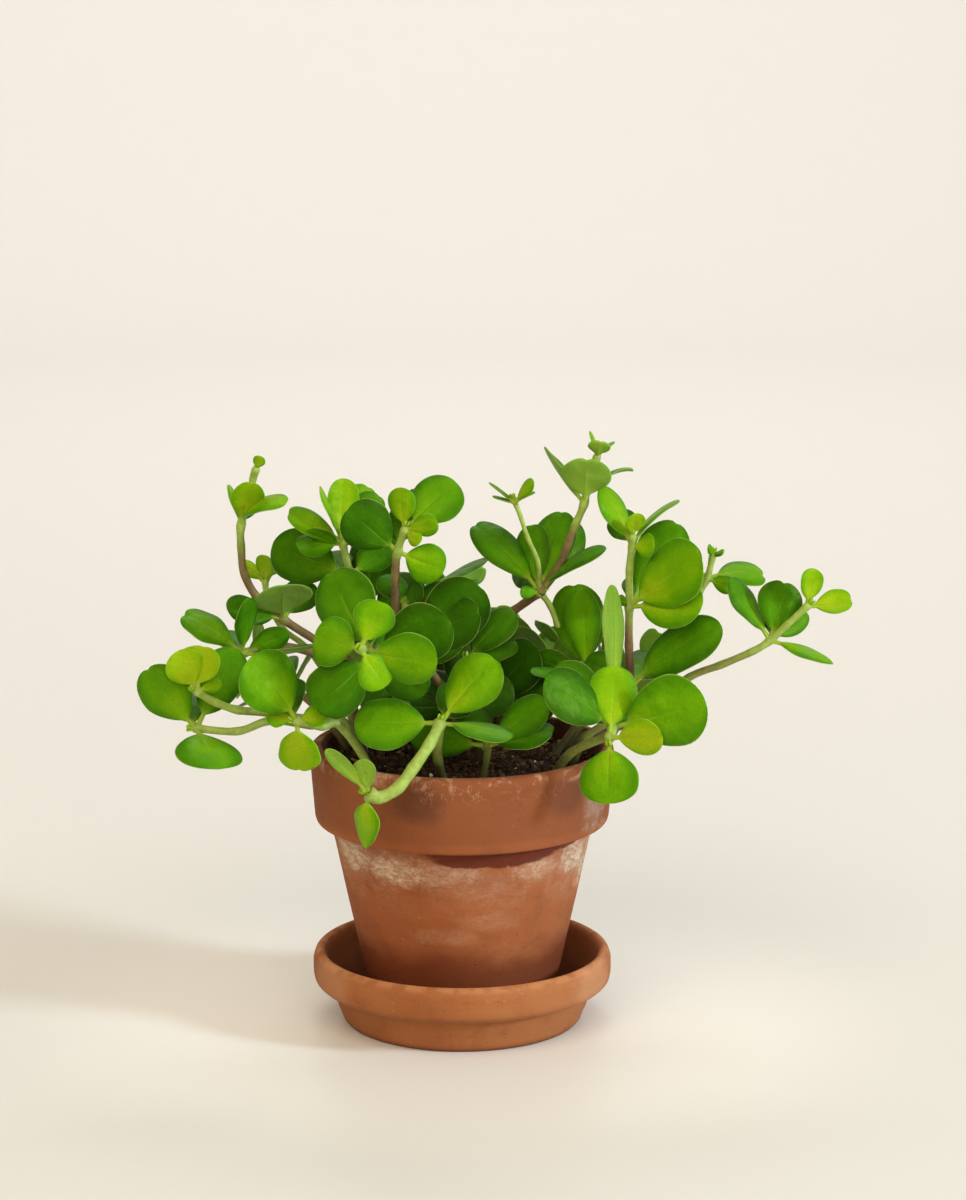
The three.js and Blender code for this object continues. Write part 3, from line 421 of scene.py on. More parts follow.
class Value:
    """A number or a colour of a material, and the nodes that can follow it."""

    def __init__(self, look, socket):
        self.look = look
        self.socket = socket

    def __add__(self, other):
        return self.look.math("ADD", self, other)

    def __sub__(self, number):
        return self + -number

    def __mul__(self, other):
        return self.look.math("MULTIPLY", self, other)

    __radd__ = __add__
    __rmul__ = __mul__

    def __abs__(self):
        return self.look.math("ABSOLUTE", self, 0.0)

    def most(self, other):
        return self.look.math("MAXIMUM", self, other)

    def ramp(self, low, high, start=0.0, end=1.0):
        """A smooth step from start to end, between low and high."""
        inputs = {"Value": self, "From Min": low, "From Max": high, "To Min": start, "To Max": end}
        return self.look.node("ShaderNodeMapRange", inputs, interpolation_type="SMOOTHSTEP")

    def fade(self, low, high):
        return self.ramp(low, high, 1.0, 0.0)

    def shade(self, factor):
        """A colour made lighter or darker by a factor."""
        return self.look.node("ShaderNodeHueSaturation", {"Value": factor, "Color": self})

    def tinted(self, code, share):
        """A colour with some of another one laid over it."""
        return self.look.mix(share, self, linear(code))

    def tones(self, stops):
        """A colour that runs through the stops as the value grows."""
        made = self.look.tree.nodes.new("ShaderNodeValToRGB")
        points = made.color_ramp.elements
        while len(points) < len(stops):
            points.new(0.5)
        for point, (position, code) in zip(points, stops):
            point.position = position
            point.color = linear(code)
        self.look.put(made.inputs[0], self)
        return Value(self.look, made.outputs[0])


class Look:
    """One material, and short calls that add its nodes."""

    def __init__(self, name):
        self.material = bpy.data.materials.new(name)
        self.material.use_nodes = True
        self.tree = self.material.node_tree
        self.place = self.node("ShaderNodeTexCoord", {}, "Object")

    def put(self, socket, value):
        if isinstance(value, Value):
            self.tree.links.new(value.socket, socket)
        else:
            socket.default_value = value

    def node(self, kind, inputs, output=0, **settings):
        made = self.tree.nodes.new(kind)
        for key, value in settings.items():
            setattr(made, key, value)
        for key, value in inputs.items():
            self.put(made.inputs[key], value)
        return Value(self, made.outputs[output])

    def finished(self, **values):
        """The material, with inputs of its surface set. An underscore stands for a space."""
        surface = self.tree.nodes["Principled BSDF"]
        for key, value in values.items():
            self.put(surface.inputs[key.replace("_", " ")], value)
        return self.material

    def math(self, operation, a, b):
        return self.node("ShaderNodeMath", {0: a, 1: b}, operation=operation)

    def mix(self, share, a, b):
        return self.node("ShaderNodeMix", {0: share, 6: a, 7: b}, 2, data_type="RGBA")

    def between(self, share, codes):
        return self.mix(share, linear(codes[0]), linear(codes[1]))

    def stretched(self, factors, place=None):
        inputs = {0: place or self.place, 1: factors}
        return self.node("ShaderNodeVectorMath", inputs, operation="MULTIPLY")

    def length(self, vector):
        return self.node("ShaderNodeVectorMath", {0: vector}, "Value", operation="LENGTH")

    def from_axis(self):
        """How far a point is from the upright axis."""
        return self.length(self.stretched((1, 1, 0)))

    def parts(self, vector):
        made = self.tree.nodes.new("ShaderNodeSeparateXYZ")
        self.put(made.inputs[0], vector)
        return [Value(self, output) for output in made.outputs]

    def height(self):
        return self.parts(self.place)[2]

    def values(self, name):
        """The three parts of a point value of the mesh."""
        return self.parts(self.node("ShaderNodeAttribute", {}, "Vector", attribute_name=name))

    def noise(self, scale, detail=3.0, rough=0.5, place=None, bent=0.0):
        inputs = {"Vector": place or self.place, "Scale": scale, "Detail": detail, "Roughness": rough,
                  "Distortion": bent}
        return self.node("ShaderNodeTexNoise", inputs)

    def dots(self, scale, size, share, place=None):
        """Round dots, of a size in cells, in a share of the cells."""
        cell = {"Vector": place or self.place, "Scale": scale}
        near = self.node("ShaderNodeTexVoronoi", cell, "Distance")
        tint = self.node("ShaderNodeTexVoronoi", cell, "Color")
        chosen = self.math("LESS_THAN", self.node("ShaderNodeSeparateColor", {0: tint}), share)
        return chosen * near.fade(size * 0.6, size)

    def patch(self, centre, size, ragged=0.0):
        """A soft patch round a point, 1 in its middle. ragged bends its edge."""
        inputs = {0: self.place, 1: tuple(c * MM for c in centre)}
        away = self.node("ShaderNodeVectorMath", inputs, operation="SUBTRACT")
        far = self.length(self.stretched(tuple(1 / (s * MM) for s in size), away))
        return (far + ragged).fade(0.45, 1.2)

    def patches(self, entries, ragged):
        """Several patches as one, each with how strong it is."""
        first, *others = [self.patch(centre, size, ragged) * much for centre, size, much in entries]
        for other in others:
            first = first.most(other)
        return first

    def bump(self, height, distance, strength=1.0, normal=None):
        inputs = {"Height": height, "Distance": distance, "Strength": strength}
        if normal:
            inputs["Normal"] = normal
        return self.node("ShaderNodeBump", inputs)


# Fired clay

GRAIN = 1100  # grains a metre, in the clay
THROWN = (0.12, 0.12, 1)  # a turned surface varies little round it and much up it
CLAY_SHINE = 0.22
POT_TONES = (0x8E4E2A, 0x9B5C34, 0x7C4223)  # the clay, and where it is lighter and darker
SAUCER_TONES = (0x92562E, 0x9C6138, 0x844927)
SPECK = 0x4A2415
GRIT = 0xD9A67C
DAMP = 0x652B15
SALT_AND_HIGHLIGHT_TONE = 0xD2BFA4
STAIN = 0x5A2010
PAINTED_RIM_SHADE = 0x744023
LEAF_SHADOW_TONE = 0x5A321F
DUST = 0xD6B592
GRIME = 0x4A2A1B
DAMP_AND_FOOT_SHADE = 0x5B2C18
WORN_LIP = 0xC98A5C
SIDE_DUST_AND_LIGHT = 0xD8A880

# Pale salts on the pot's body, and one patch on the rim's right edge that is partly salt and partly a painted
# highlight; each a middle, a size in millimetres, and how strong it is
SALT_AND_HIGHLIGHT_PATCHES = [
    ((-43, -26, 76), (14, 14, 9), 1.0),
    ((-27, -43, 73), (16, 12, 6), 0.9),
    ((-9, -50, 73), (18, 12, 6), 0.45),
    ((8, -49, 67), (12, 12, 7), 0.2),
    ((30, -40, 73), (13, 12, 5), 0.65),
    ((45, -24, 74), (12, 14, 8), 1.0),
    ((50, -10, 69), (9, 12, 13), 0.9),
    ((12, -44, 53), (14, 12, 5), 0.14),
    ((-6, -44, 46), (16, 12, 4), 0.14),
    ((-30, 38, 72), (26, 16, 8), 0.8),
    ((28, 42, 68), (22, 16, 9), 0.7),
    ((-52, 8, 74), (10, 18, 7), 0.6),
    ((4, 44, 48), (26, 14, 6), 0.4),
    # Partly salt, partly a painted highlight where the key lamp grazes the rim's right edge
    ((54, -29, 98), (9, 16, 15), 1.0),
]

# The dark stain under the rim, where water has run
STAINS = [
    ((2, -53, 80.5), (17, 20, 5), 1),
    ((22, -49, 81), (22, 20, 6), 1),
    ((38, -36, 83), (14, 18, 4), 1),
]

# Painted shadows of leaves on the rim, as dark soft patches
LEAF_SHADOW_PATCHES = [
    ((-17, -58, 103), (13, 14, 9), 0.75),
    ((41, -44, 103), (12, 14, 9), 0.6),
    ((-34, 50, 100), (14, 14, 8), 0.4),
]

# A damp place low on the pot's front
PUDDLE = ((-8, -38, 28), (20, 16, 12))


def clay_ground(look, tones):
    """The even part of fired clay: its colour, and the height of its surface from 0 to 1."""
    middle = look.noise(75, 4, 0.6)
    grain = look.noise(GRAIN, 3, 0.65)
    thrown = look.noise(330, 3, 0.6, look.stretched(THROWN))
    colour = look.between(look.noise(16, 2).ramp(0.35, 0.7), tones)
    colour = colour.tinted(tones[2], middle.ramp(0.45, 0.75, 0.0, 0.55))
    colour = colour.shade(0.8 + grain * 0.22 + thrown * 0.2)
    specks = look.dots(420, 0.24, 0.12)
    colour = colour.tinted(SPECK, specks * 0.28)
    colour = colour.tinted(GRIT, look.dots(300, 0.2, 0.1, look.stretched((1, 1, 1.3))) * 0.14)
    return colour, grain * 0.35 + thrown * 0.65 + specks * -0.5


def damp_foot(look, level, ragged):
    """How damp the pot's body is."""
    edge = (level + look.noise(60, 4) * 0.014).fade(0.038, 0.05)
    return edge.most(look.patch(*PUDDLE, ragged * 0.5) * 0.7)


def salt_and_highlight(look, level, wisp, ragged):
    """How thick the salts lie, in broken patches and as a thin haze under the rim, with a painted highlight
    in the patch on the rim's right edge.
    """
    broken = look.noise(260, 9, 0.78, look.stretched((0.7, 0.7, 1.5)), 0.9).ramp(0.42, 0.6)
    pale_cover = look.patches(SALT_AND_HIGHLIGHT_PATCHES, ragged) * (0.35 + broken * 0.65)
    haze = level.ramp(0.05, 0.078) * level.fade(0.0805, 0.084) * wisp.ramp(0.36, 0.7) * (0.2 + broken * 0.28)
    return pale_cover.most(haze) * look.noise(700, 4, 0.7).ramp(0.25, 0.6, 0.6, 1.0)


def rim_dust(look, level, wisp):
    """Fine pale lines on the rim, and dust along its top."""
    line = abs(look.noise(150, 3, 0.6) - 0.5)
    squiggle = level.ramp(0.1, 0.109) * line.fade(0.003, 0.01) * look.noise(40, 2).ramp(0.52, 0.64) * 0.27
    return squiggle.most(level.ramp(0.107, 0.1115) * wisp.ramp(0.5, 0.62) * 0.35)


def pot_clay():
    look = Look("pot_clay")
    colour, height = clay_ground(look, POT_TONES)
    level = look.height()
    wisp = look.noise(95, 6, 0.7, bent=0.6)
    ragged = (wisp - 0.5) * 1.9
    damp = damp_foot(look, level, ragged)
    colour = colour.tinted(DAMP, damp * 0.78)
    pale_cover = salt_and_highlight(look, level, wisp, ragged)
    # Pale salts, and a painted highlight on the rim's right edge
    colour = colour.tinted(SALT_AND_HIGHLIGHT_TONE, pale_cover * 0.8)
    stain = look.patches(STAINS, ragged * 0.5).ramp(0.2, 0.6)
    colour = colour.tinted(STAIN, stain * level.ramp(0.082, 0.0828, 0.92, 0.0))
    # Painted shade from the leaves above: the whole rim is made darker
    colour = colour.tinted(PAINTED_RIM_SHADE, level.ramp(0.083, 0.089, 0.0, 0.6))
    # Painted shadows of leaves on the rim
    for centre, size, much in LEAF_SHADOW_PATCHES:
        colour = colour.tinted(LEAF_SHADOW_TONE, look.patch(centre, size, ragged * 0.4) * much)
    colour = colour.tinted(DUST, rim_dust(look, level, wisp))
    inside = look.from_axis().fade(INNER_RIM * MM, (INNER_RIM + 1) * MM) * level.ramp(0.084, 0.09)
    colour = colour.tinted(GRIME, inside * look.noise(120, 4).ramp(0.25, 0.6, 0.55, 0.9))
    return look.finished(Base_Color=colour, Roughness=damp.ramp(0.0, 1.0, 0.86, 0.62),
                         Normal=look.bump(height + pale_cover * 0.5, 0.00022), Specular_IOR_Level=CLAY_SHINE)


def saucer_clay():
    look = Look("saucer_clay")
    colour, height = clay_ground(look, SAUCER_TONES)
    level, far = look.height(), look.from_axis()
    bowl = far.fade(0.0535, 0.0555) * (far + level * -0.45).fade(0.0457, 0.0464) * level.ramp(0.0035, 0.0045)
    wet = (level + look.noise(70, 4) * 0.01).ramp(0.012, 0.03, 1.0, 0.35)
    colour = colour.tinted(DAMP_AND_FOOT_SHADE, bowl * wet * 0.8)
    lip = level.ramp(0.0265, 0.029) * look.noise(160, 4).ramp(0.4, 0.6)
    colour = colour.tinted(WORN_LIP, lip * 0.35)
    # Painted shade: a dark line round the bottom, where the saucer meets the floor
    colour = colour.tinted(DAMP_AND_FOOT_SHADE, level.ramp(0.0, 0.0035, 0.6, 0.0))
    # Pale patches on both sides of the saucer: partly dust, partly painted light
    for side in (-53, 53):
        colour = colour.tinted(SIDE_DUST_AND_LIGHT, look.patch((side, -28, 22), (14, 18, 12)) * 0.2)
    return look.finished(Base_Color=colour, Roughness=0.84, Normal=look.bump(height, 0.00018),
                         Specular_IOR_Level=CLAY_SHINE)


# Soil, in dark and light tones

SOIL = (0x140D08, 0x3C281A)
CRUMB = (0x24170D, 0x5E4228)
PERLITE = (0xA8987A, 0xDCCFB4)
CHIP = (0x7A5A38, 0xB59468)
FIBRE = (0x3E2415, 0x6E4A2E)
SOIL_FLECK = 0x7A5A3A


def soil_finish(name, codes, fleck_share):
    look = Look(name)
    lump = look.noise(260, 5, 0.7)
    colour = look.between(lump.ramp(0.35, 0.72), codes)
    colour = colour.tinted(SOIL_FLECK, look.dots(650, 0.4, fleck_share) * 0.6)
    relief = look.bump(look.noise(900, 4, 0.7) + lump, 0.0006)
    return look.finished(Base_Color=colour, Roughness=0.95, Normal=relief, Specular_IOR_Level=0.15)


def grit_finish(name, codes):
    look = Look(name)
    colour = look.between(look.noise(500, 4, 0.7).ramp(0.35, 0.7), codes)
    relief = look.bump(look.noise(1600, 3, 0.6), 0.0003)
    return look.finished(Base_Color=colour, Roughness=0.9, Normal=relief, Specular_IOR_Level=0.2)


# Leaves and stems

# From an old leaf to a new one, and from a green stem to a woody one
LEAF_TONES = [(0.0, 0x1C3C06), (0.3, 0x2F6006), (0.5, 0x457C06), (0.7, 0x609206), (0.85, 0x789F09),
              (1.0, 0x8BA512)]
STALK_TONES = [(0.0, 0x93A94A), (0.35, 0x7E8A38), (0.7, 0x77643A), (1.0, 0x5E4530)]
PALE_LEAF = 0x8C9C40
VEIN = 0xA8BE4A
UNDERSIDE = 0x8FB048
LEAF_EDGE = 0xB9C66A
LEAF_STALK = 0x9CB23C
LEAF_SHINE = 0xD0E050
FRECKLE = 0x4A2E20
STEM_DIRT_AND_SHADE = 0x2A1E12


def leaf_finish():
    look = Look("leaf")
    across, along, under = look.values("blade")
    youth, _, chance = look.values("growth")
    out = abs(across)
    blotch = look.noise(80, 4, 0.6)
    fine = look.noise(1500, 3, 0.6)
    heart = along.fade(0.15, 0.8) * out.fade(0.0, 0.95) * (0.06 + youth * 0.24)
    rim = out.ramp(0.4, 0.98, 0.0, -0.18)
    pale = youth.ramp(1.0, 1.1)
    age = youth + (chance - 0.5) * 0.12 + heart + rim + (blotch - 0.5) * 0.4 + pale * -0.6
    colour = age.tones(LEAF_TONES).tinted(PALE_LEAF, pale * 0.45)
    colour = colour.shade(fine.ramp(0.3, 0.7, 0.9, 1.1))

    rib = out.fade(0.0, 0.05) * along.fade(0.4, 0.85)
    side_rib = abs(out - 0.45).fade(0.0, 0.035) * along.fade(0.35, 0.8) * 0.4
    vein = rib.most(side_rib)
    colour = colour.tinted(VEIN, vein * 0.16)
    colour = colour.tinted(UNDERSIDE, under * 0.55)
    colour = colour.tinted(LEAF_EDGE, out.ramp(0.96, 1.0, 0.0, 0.24))
    colour = colour.tinted(LEAF_STALK, along.ramp(0.1, 0.26, 0.75, 0.0))

    waves = look.bump(look.noise(150, 2, 0.4), 0.0016, 0.7)
    relief = look.bump(vein * under.ramp(0.0, 1.0, -0.6, 0.8) + fine * 0.12, 0.00025, 0.8, waves)
    return look.finished(Base_Color=colour, Roughness=0.34 + blotch * 0.16 + under * 0.14, Normal=relief,
                         Specular_IOR_Level=0.2, Specular_Tint=linear(LEAF_SHINE), Subsurface_Weight=0.3,
                         Subsurface_Scale=0.0012, Subsurface_Radius=(0.6, 1.0, 0.15))


def stalk_finish():
    look = Look("stalk")
    _, wood, chance = look.values("growth")
    streak = look.noise(500, 4, 0.6)
    age = wood + (look.noise(130, 3, 0.6) - 0.5) * 0.5 + chance * 0.06
    colour = age.tones(STALK_TONES).shade(streak.ramp(0.3, 0.7, 0.85, 1.12))
    colour = colour.tinted(FRECKLE, look.dots(900, 0.4, 0.25) * wood * 0.5)
    # Stems are darker low down inside the pot: partly soil dirt, mostly painted shade under the leaves
    low = look.height().ramp(0.11, 0.136, 0.85, 0.0)
    colour = colour.tinted(STEM_DIRT_AND_SHADE, low * look.from_axis().fade(0.046, 0.056))
    return look.finished(Base_Color=colour, Roughness=0.5, Normal=look.bump(streak, 0.0002, 0.7),
                         Specular_IOR_Level=0.25, Subsurface_Weight=0.2, Subsurface_Scale=0.001,
                         Subsurface_Radius=(0.8, 1.0, 0.3))


# Turned pieces

def rounded(profile, reach=1.6, steps=4):
    """A profile with each inner corner turned into a short curve."""
    points = [np.array(p, dtype=float) for p in profile]
    out = [points[0]]
    for before, corner, after in zip(points, points[1:], points[2:]):
        back, ahead = before - corner, after - corner
        cut = min(reach, 0.4 * np.linalg.norm(back), 0.4 * np.linalg.norm(ahead))
        a, b = corner + unit(back) * cut, corner + unit(ahead) * cut
        for k in range(steps + 1):
            t = k / steps
            out.append(a * (1 - t) ** 2 + corner * 2 * t * (1 - t) + b * t * t)
    out.append(points[-1])
    return out


def finely(points, step):
    """The same line in steps no longer than step."""
    out = [points[0]]
    for a, b in zip(points, points[1:]):
        count = max(1, math.ceil(np.linalg.norm(b - a) / step))
        out.extend(a + (b - a) * k / count for k in range(1, count + 1))
    return out


def turned_piece(name, profile, finish, slot, node, closed):
    """A lathed piece. Its surface is pressed in and out a little, as a hand-turned one is."""
    line = finely(rounded(profile), LATHE_STEP)
    if closed:
        line = line[:-1]
    turns = np.arange(LATHE_STEPS) * 2 * math.pi / LATHE_STEPS
    rows = []
    for radius, height in line:
        row = np.stack([radius * np.cos(turns), radius * np.sin(turns), np.full(LATHE_STEPS, height)], 1)
        if radius > DRAIN_RADIUS + 1:
            band = noise.noise(Vector((0, 0, height * 0.9)))
            for k, turn in enumerate(turns):
                wander = noise.noise(Vector((2 * math.cos(turn), 2 * math.sin(turn), height * 0.05)))
                fine = noise.noise(Vector((row[k][0] * 0.4, row[k][1] * 0.4, height * 0.5)))
                shift = PRESSED * (-0.5 + 0.35 * band + 0.5 * wander + 0.25 * fine)
                row[k][:2] *= 1 + shift / radius
        rows.append(row)
    points = np.concatenate(rows)
    if closed:
        faces = skin(len(line), LATHE_STEPS, joined=True)
    else:
        points, faces = capped(points, line)
    shape = Shape()
    shape.add(points, faces)
    shape.piece(name, [finish], slot, node)


def capped(points, line):
    """A turned body whose line starts and ends on the axis, with one point at each end."""
    inner = points[LATHE_STEPS:-LATHE_STEPS]
    rows = len(line) - 2
    faces = skin(rows, LATHE_STEPS)
    ends = np.array([[0, 0, line[0][1]], [0, 0, line[-1][1]]])
    total = len(inner)
    faces += fan(total, 0, LATHE_STEPS, flipped=True)
    faces += fan(total + 1, (rows - 1) * LATHE_STEPS, LATHE_STEPS)
    return np.concatenate([inner, ends]), faces


def body_radius(height):
    share = (height - POT_FOOT_HEIGHT) / (BODY_TOP - POT_FOOT_HEIGHT)
    return POT_FOOT_RADIUS + (BODY_TOP_RADIUS - POT_FOOT_RADIUS) * share


def pot_profile():
    return [
        (DRAIN_RADIUS, POT_FOOT_HEIGHT),
        (POT_FOOT_RADIUS - 1, POT_FOOT_HEIGHT),
        (body_radius(POT_FOOT_HEIGHT + 1.2), POT_FOOT_HEIGHT + 1.2),
        (BODY_TOP_RADIUS, BODY_TOP),
        (RIM_RADIUS - 4, BODY_TOP),
        (RIM_RADIUS - 2.2, BODY_TOP + 0.8),
        (RIM_RADIUS - 1.5, BODY_TOP + 2.8),
        (RIM_RADIUS + 0.5, POT_TOP - 3.5),
        (RIM_RADIUS, POT_TOP - 1),
        (RIM_RADIUS - 1.5, POT_TOP),
        (RIM_RADIUS - 4, POT_TOP),
        (RIM_RADIUS - 5.2, POT_TOP - 1.5),
        (RIM_RADIUS - 6, POT_TOP - 13),
        (body_radius(BODY_TOP) - WALL, BODY_TOP - 2),
        (body_radius(INNER_FLOOR) - WALL, INNER_FLOOR),
        (DRAIN_RADIUS, INNER_FLOOR),
        (DRAIN_RADIUS, POT_FOOT_HEIGHT),
    ]


def saucer_profile():
    return [
        (0, 0),
        (SAUCER_BASE_RADIUS - 1.3, 0),
        (SAUCER_BASE_RADIUS, 1.3),
        (SAUCER_RADIUS - 6.8, 14.2),
        (SAUCER_RADIUS - 2.8, 15),
        (SAUCER_RADIUS - 0.6, 17),
        (SAUCER_RADIUS, 20),
        (SAUCER_RADIUS, SAUCER_HEIGHT - 4),
        (SAUCER_RADIUS - 1, SAUCER_HEIGHT - 1.2),
        (SAUCER_RADIUS - 2.8, SAUCER_HEIGHT),
        (SAUCER_RADIUS - 4.4, SAUCER_HEIGHT - 0.6),
        (SAUCER_RADIUS - 5.4, SAUCER_HEIGHT - 3),
        (SAUCER_RADIUS - 7, SAUCER_HEIGHT - 10),
        (SAUCER_BASE_RADIUS + 1, SAUCER_FLOOR + 4),
        (SAUCER_BASE_RADIUS - 2, SAUCER_FLOOR),
        (0, SAUCER_FLOOR),
    ]


# The soil's top

SOIL_RADIUS = RIM_RADIUS - 6.3
SOIL_SLOPE = [(0, 1), (20.5, 0.9), (36.5, 0.3), (48.5, -0.6), (SOIL_RADIUS, -2)]
SOIL_RINGS = 60
LUMP_UNEVEN = 0.35
FIBRES = 90
FIBRE_SEED = 71


def soil_height(x, y):
    """How high the soil is at a place: its lie, the two waves that the solid has, and finer lumps."""
    far = math.hypot(x, y)
    lie = np.interp(far, *zip(*SOIL_SLOPE))
    waves = 0.7 * math.sin(0.31 * x + 0.7) * math.cos(0.27 * y - 0.4)
    lumps = (1.1 * noise.noise(Vector((x * 0.22, y * 0.22, 3.1)))
             + 0.6 * noise.noise(Vector((x * 0.6, y * 0.6, 8.4)))
             + 0.25 * noise.noise(Vector((x * 1.5, y * 1.5, 1.7))))
    return SOIL_TOP + lie + waves + lumps * (1 if far < SOIL_RADIUS - 3 else 0.4)


def ring(far, steps=LATHE_STEPS):
    """The places of a row of points round the axis."""
    turns = [2 * math.pi * k / steps for k in range(steps)]
    return [(far * math.cos(turn), far * math.sin(turn)) for turn in turns]


def soil_bed(finish):
    points = []
    for i in range(1, SOIL_RINGS + 1):
        points += [(x, y, soil_height(x, y)) for x, y in ring(SOIL_RADIUS * (i / SOIL_RINGS) ** 0.9)]
    under = INNER_FLOOR + SOIL_GAP
    below = [(RIM_RADIUS - 6.6, POT_TOP - 12.6), (body_radius(BODY_TOP) - WALL - SOIL_GAP, BODY_TOP - 2),
             (body_radius(INNER_FLOOR) - WALL - SOIL_GAP, under)]
    for far, level in below:
        points += [(x, y, level) for x, y in ring(far)]
    points += [(0, 0, soil_height(0, 0)), (0, 0, under)]
    rows = SOIL_RINGS + len(below)
    faces = [face[::-1] for face in skin(rows, LATHE_STEPS)]
    faces += fan(len(points) - 2, 0, LATHE_STEPS)
    faces += fan(len(points) - 1, (rows - 1) * LATHE_STEPS, LATHE_STEPS, flipped=True)
    shape = Shape()
    shape.add(points, faces)
    shape.piece("soil_bed", [finish], "soil", "soil")


def lump_points():
    """The points and faces of a small round lump."""
    rings, sides = 4, 7
    points = [(0, 0, -1)]
    for i in range(1, rings):
        angle = math.pi * i / rings
        for k in range(sides):
            turn = 2 * math.pi * (k + 0.5 * (i % 2)) / sides
            points.append((math.sin(angle) * math.cos(turn), math.sin(angle) * math.sin(turn),
                           -math.cos(angle)))
    points.append((0, 0, 1))
    faces = fan(0, 1, sides, flipped=True)
    faces += [tuple(c + 1 for c in face) for face in skin(rings - 1, sides)]
    faces += fan(len(points) - 1, 1 + (rings - 2) * sides, sides)
    return np.array(points, dtype=float), faces


def scattered(name, finish, seed, count, sizes, flat, near_rim=0.0):
    """Small lumps that lie on the soil. flat is how tall one is as a share of its width."""
    draw = random.Random(seed)
    ball, faces = lump_points()
    shape = Shape()
    for _ in range(count):
        turn = draw.uniform(0, 2 * math.pi)
        far = (SOIL_RADIUS - 2) * math.sqrt(draw.uniform(near_rim, 1))
        size = draw.uniform(*sizes) * draw.uniform(0.6, 1)
        x, y = far * math.cos(turn), far * math.sin(turn)
        stretch = np.array([draw.uniform(0.7, 1.3), draw.uniform(0.7, 1.3), flat * draw.uniform(0.8, 1.2)])
        rough = np.array([1 + draw.uniform(-LUMP_UNEVEN, LUMP_UNEVEN) for _ in ball])
        body = ball * rough[:, None] * stretch * size
        spin = draw.uniform(0, 2 * math.pi)
        lean = draw.uniform(-0.6, 0.6)
        body = body @ turn_matrix(spin, lean).T
        body += (x, y, soil_height(x, y) + 0.25 * size)
        shape.add(body, faces)
    shape.piece(name, [finish], "soil")


def turn_matrix(spin, lean):
    cs, ss, cl, sl = math.cos(spin), math.sin(spin), math.cos(lean), math.sin(lean)
    upright = np.array([[cs, -ss, 0], [ss, cs, 0], [0, 0, 1]])
    tipped = np.array([[1, 0, 0], [0, cl, -sl], [0, sl, cl]])
    return upright @ tipped


def soil_fibres(finish):
    """Short root threads that lie over the soil."""
    draw = random.Random(FIBRE_SEED)
    shape = Shape()
    for _ in range(FIBRES):
        turn, far = draw.uniform(0, 2 * math.pi), (SOIL_RADIUS - 6) * math.sqrt(draw.random())
        x, y = far * math.cos(turn), far * math.sin(turn)
        way, length = draw.uniform(0, 2 * math.pi), draw.uniform(3, 10)
        path = []
        for _ in range(7):
            path.append((x, y, soil_height(x, y) + draw.uniform(0.2, 0.7)))
            way += draw.uniform(-0.5, 0.5)
            x += math.cos(way) * length / 6
            y += math.sin(way) * length / 6
            inside = min(1, (SOIL_RADIUS - 2) / math.hypot(x, y))
            x, y = x * inside, y * inside
        thick = draw.uniform(0.1, 0.2)
        add_tube(shape, np.array(path), np.full(len(path), thick), 5)
    shape.piece("soil_fibres", [finish], "soil")


def add_tube(shape, path, radii, sides, finish=0, growth=None):
    """A closed tube through the points of a path, with a round end at its last point."""
    along = np.gradient(path, axis=0)
    along /= np.linalg.norm(along, axis=1)[:, None]
    side = unit(np.cross(along[0], (0.3, 0.9, 0.1)))
    turns = np.arange(sides) * 2 * math.pi / sides
    rows = []
    for place, way, radius in zip(path, along, radii):
        side = unit(side - way * np.dot(side, way))
        other = np.cross(way, side)
        rows.append(place + radius * (np.outer(np.cos(turns), side) + np.outer(np.sin(turns), other)))
    for share in (0.5, 0.87):
        centre = path[-1] + along[-1] * radii[-1] * share
        narrow = radii[-1] * math.sqrt(1 - share * share)
        rows.append(centre + narrow * (np.outer(np.cos(turns), side) + np.outer(np.sin(turns), other)))
    points = np.concatenate(rows + [path[:1], path[-1:] + along[-1] * radii[-1]])
    count = len(rows)
    faces = skin(count, sides)
    faces += fan(count * sides, 0, sides, flipped=True)
    faces += fan(count * sides + 1, (count - 1) * sides, sides)
    values = None
    if growth is not None:
        spread = [np.repeat(growth, sides, axis=0), np.repeat(growth[-1:], 2 * sides, axis=0)]
        values = np.concatenate(spread + [growth[:1], growth[-1:]])
    shape.add(points, faces, finish, None, values)


# The leafy stems

def curve_point(knots, position):
    """A point of the smooth curve through the knots, at a position counted in knots."""
    last = len(knots) - 1
    start = min(int(position), last - 1)
    t = position - start
    before = knots[start - 1] if start > 0 else 2 * knots[0] - knots[1]
    after = knots[start + 2] if start + 2 <= last else 2 * knots[last] - knots[last - 1]
    a, b = knots[start], knots[start + 1]
    slope_a, slope_b = 0.5 * (b - before), 0.5 * (after - a)
    return ((2 * t**3 - 3 * t**2 + 1) * a + (t**3 - 2 * t**2 + t) * slope_a
            + (3 * t**2 - 2 * t**3) * b + (t**3 - t**2) * slope_b)


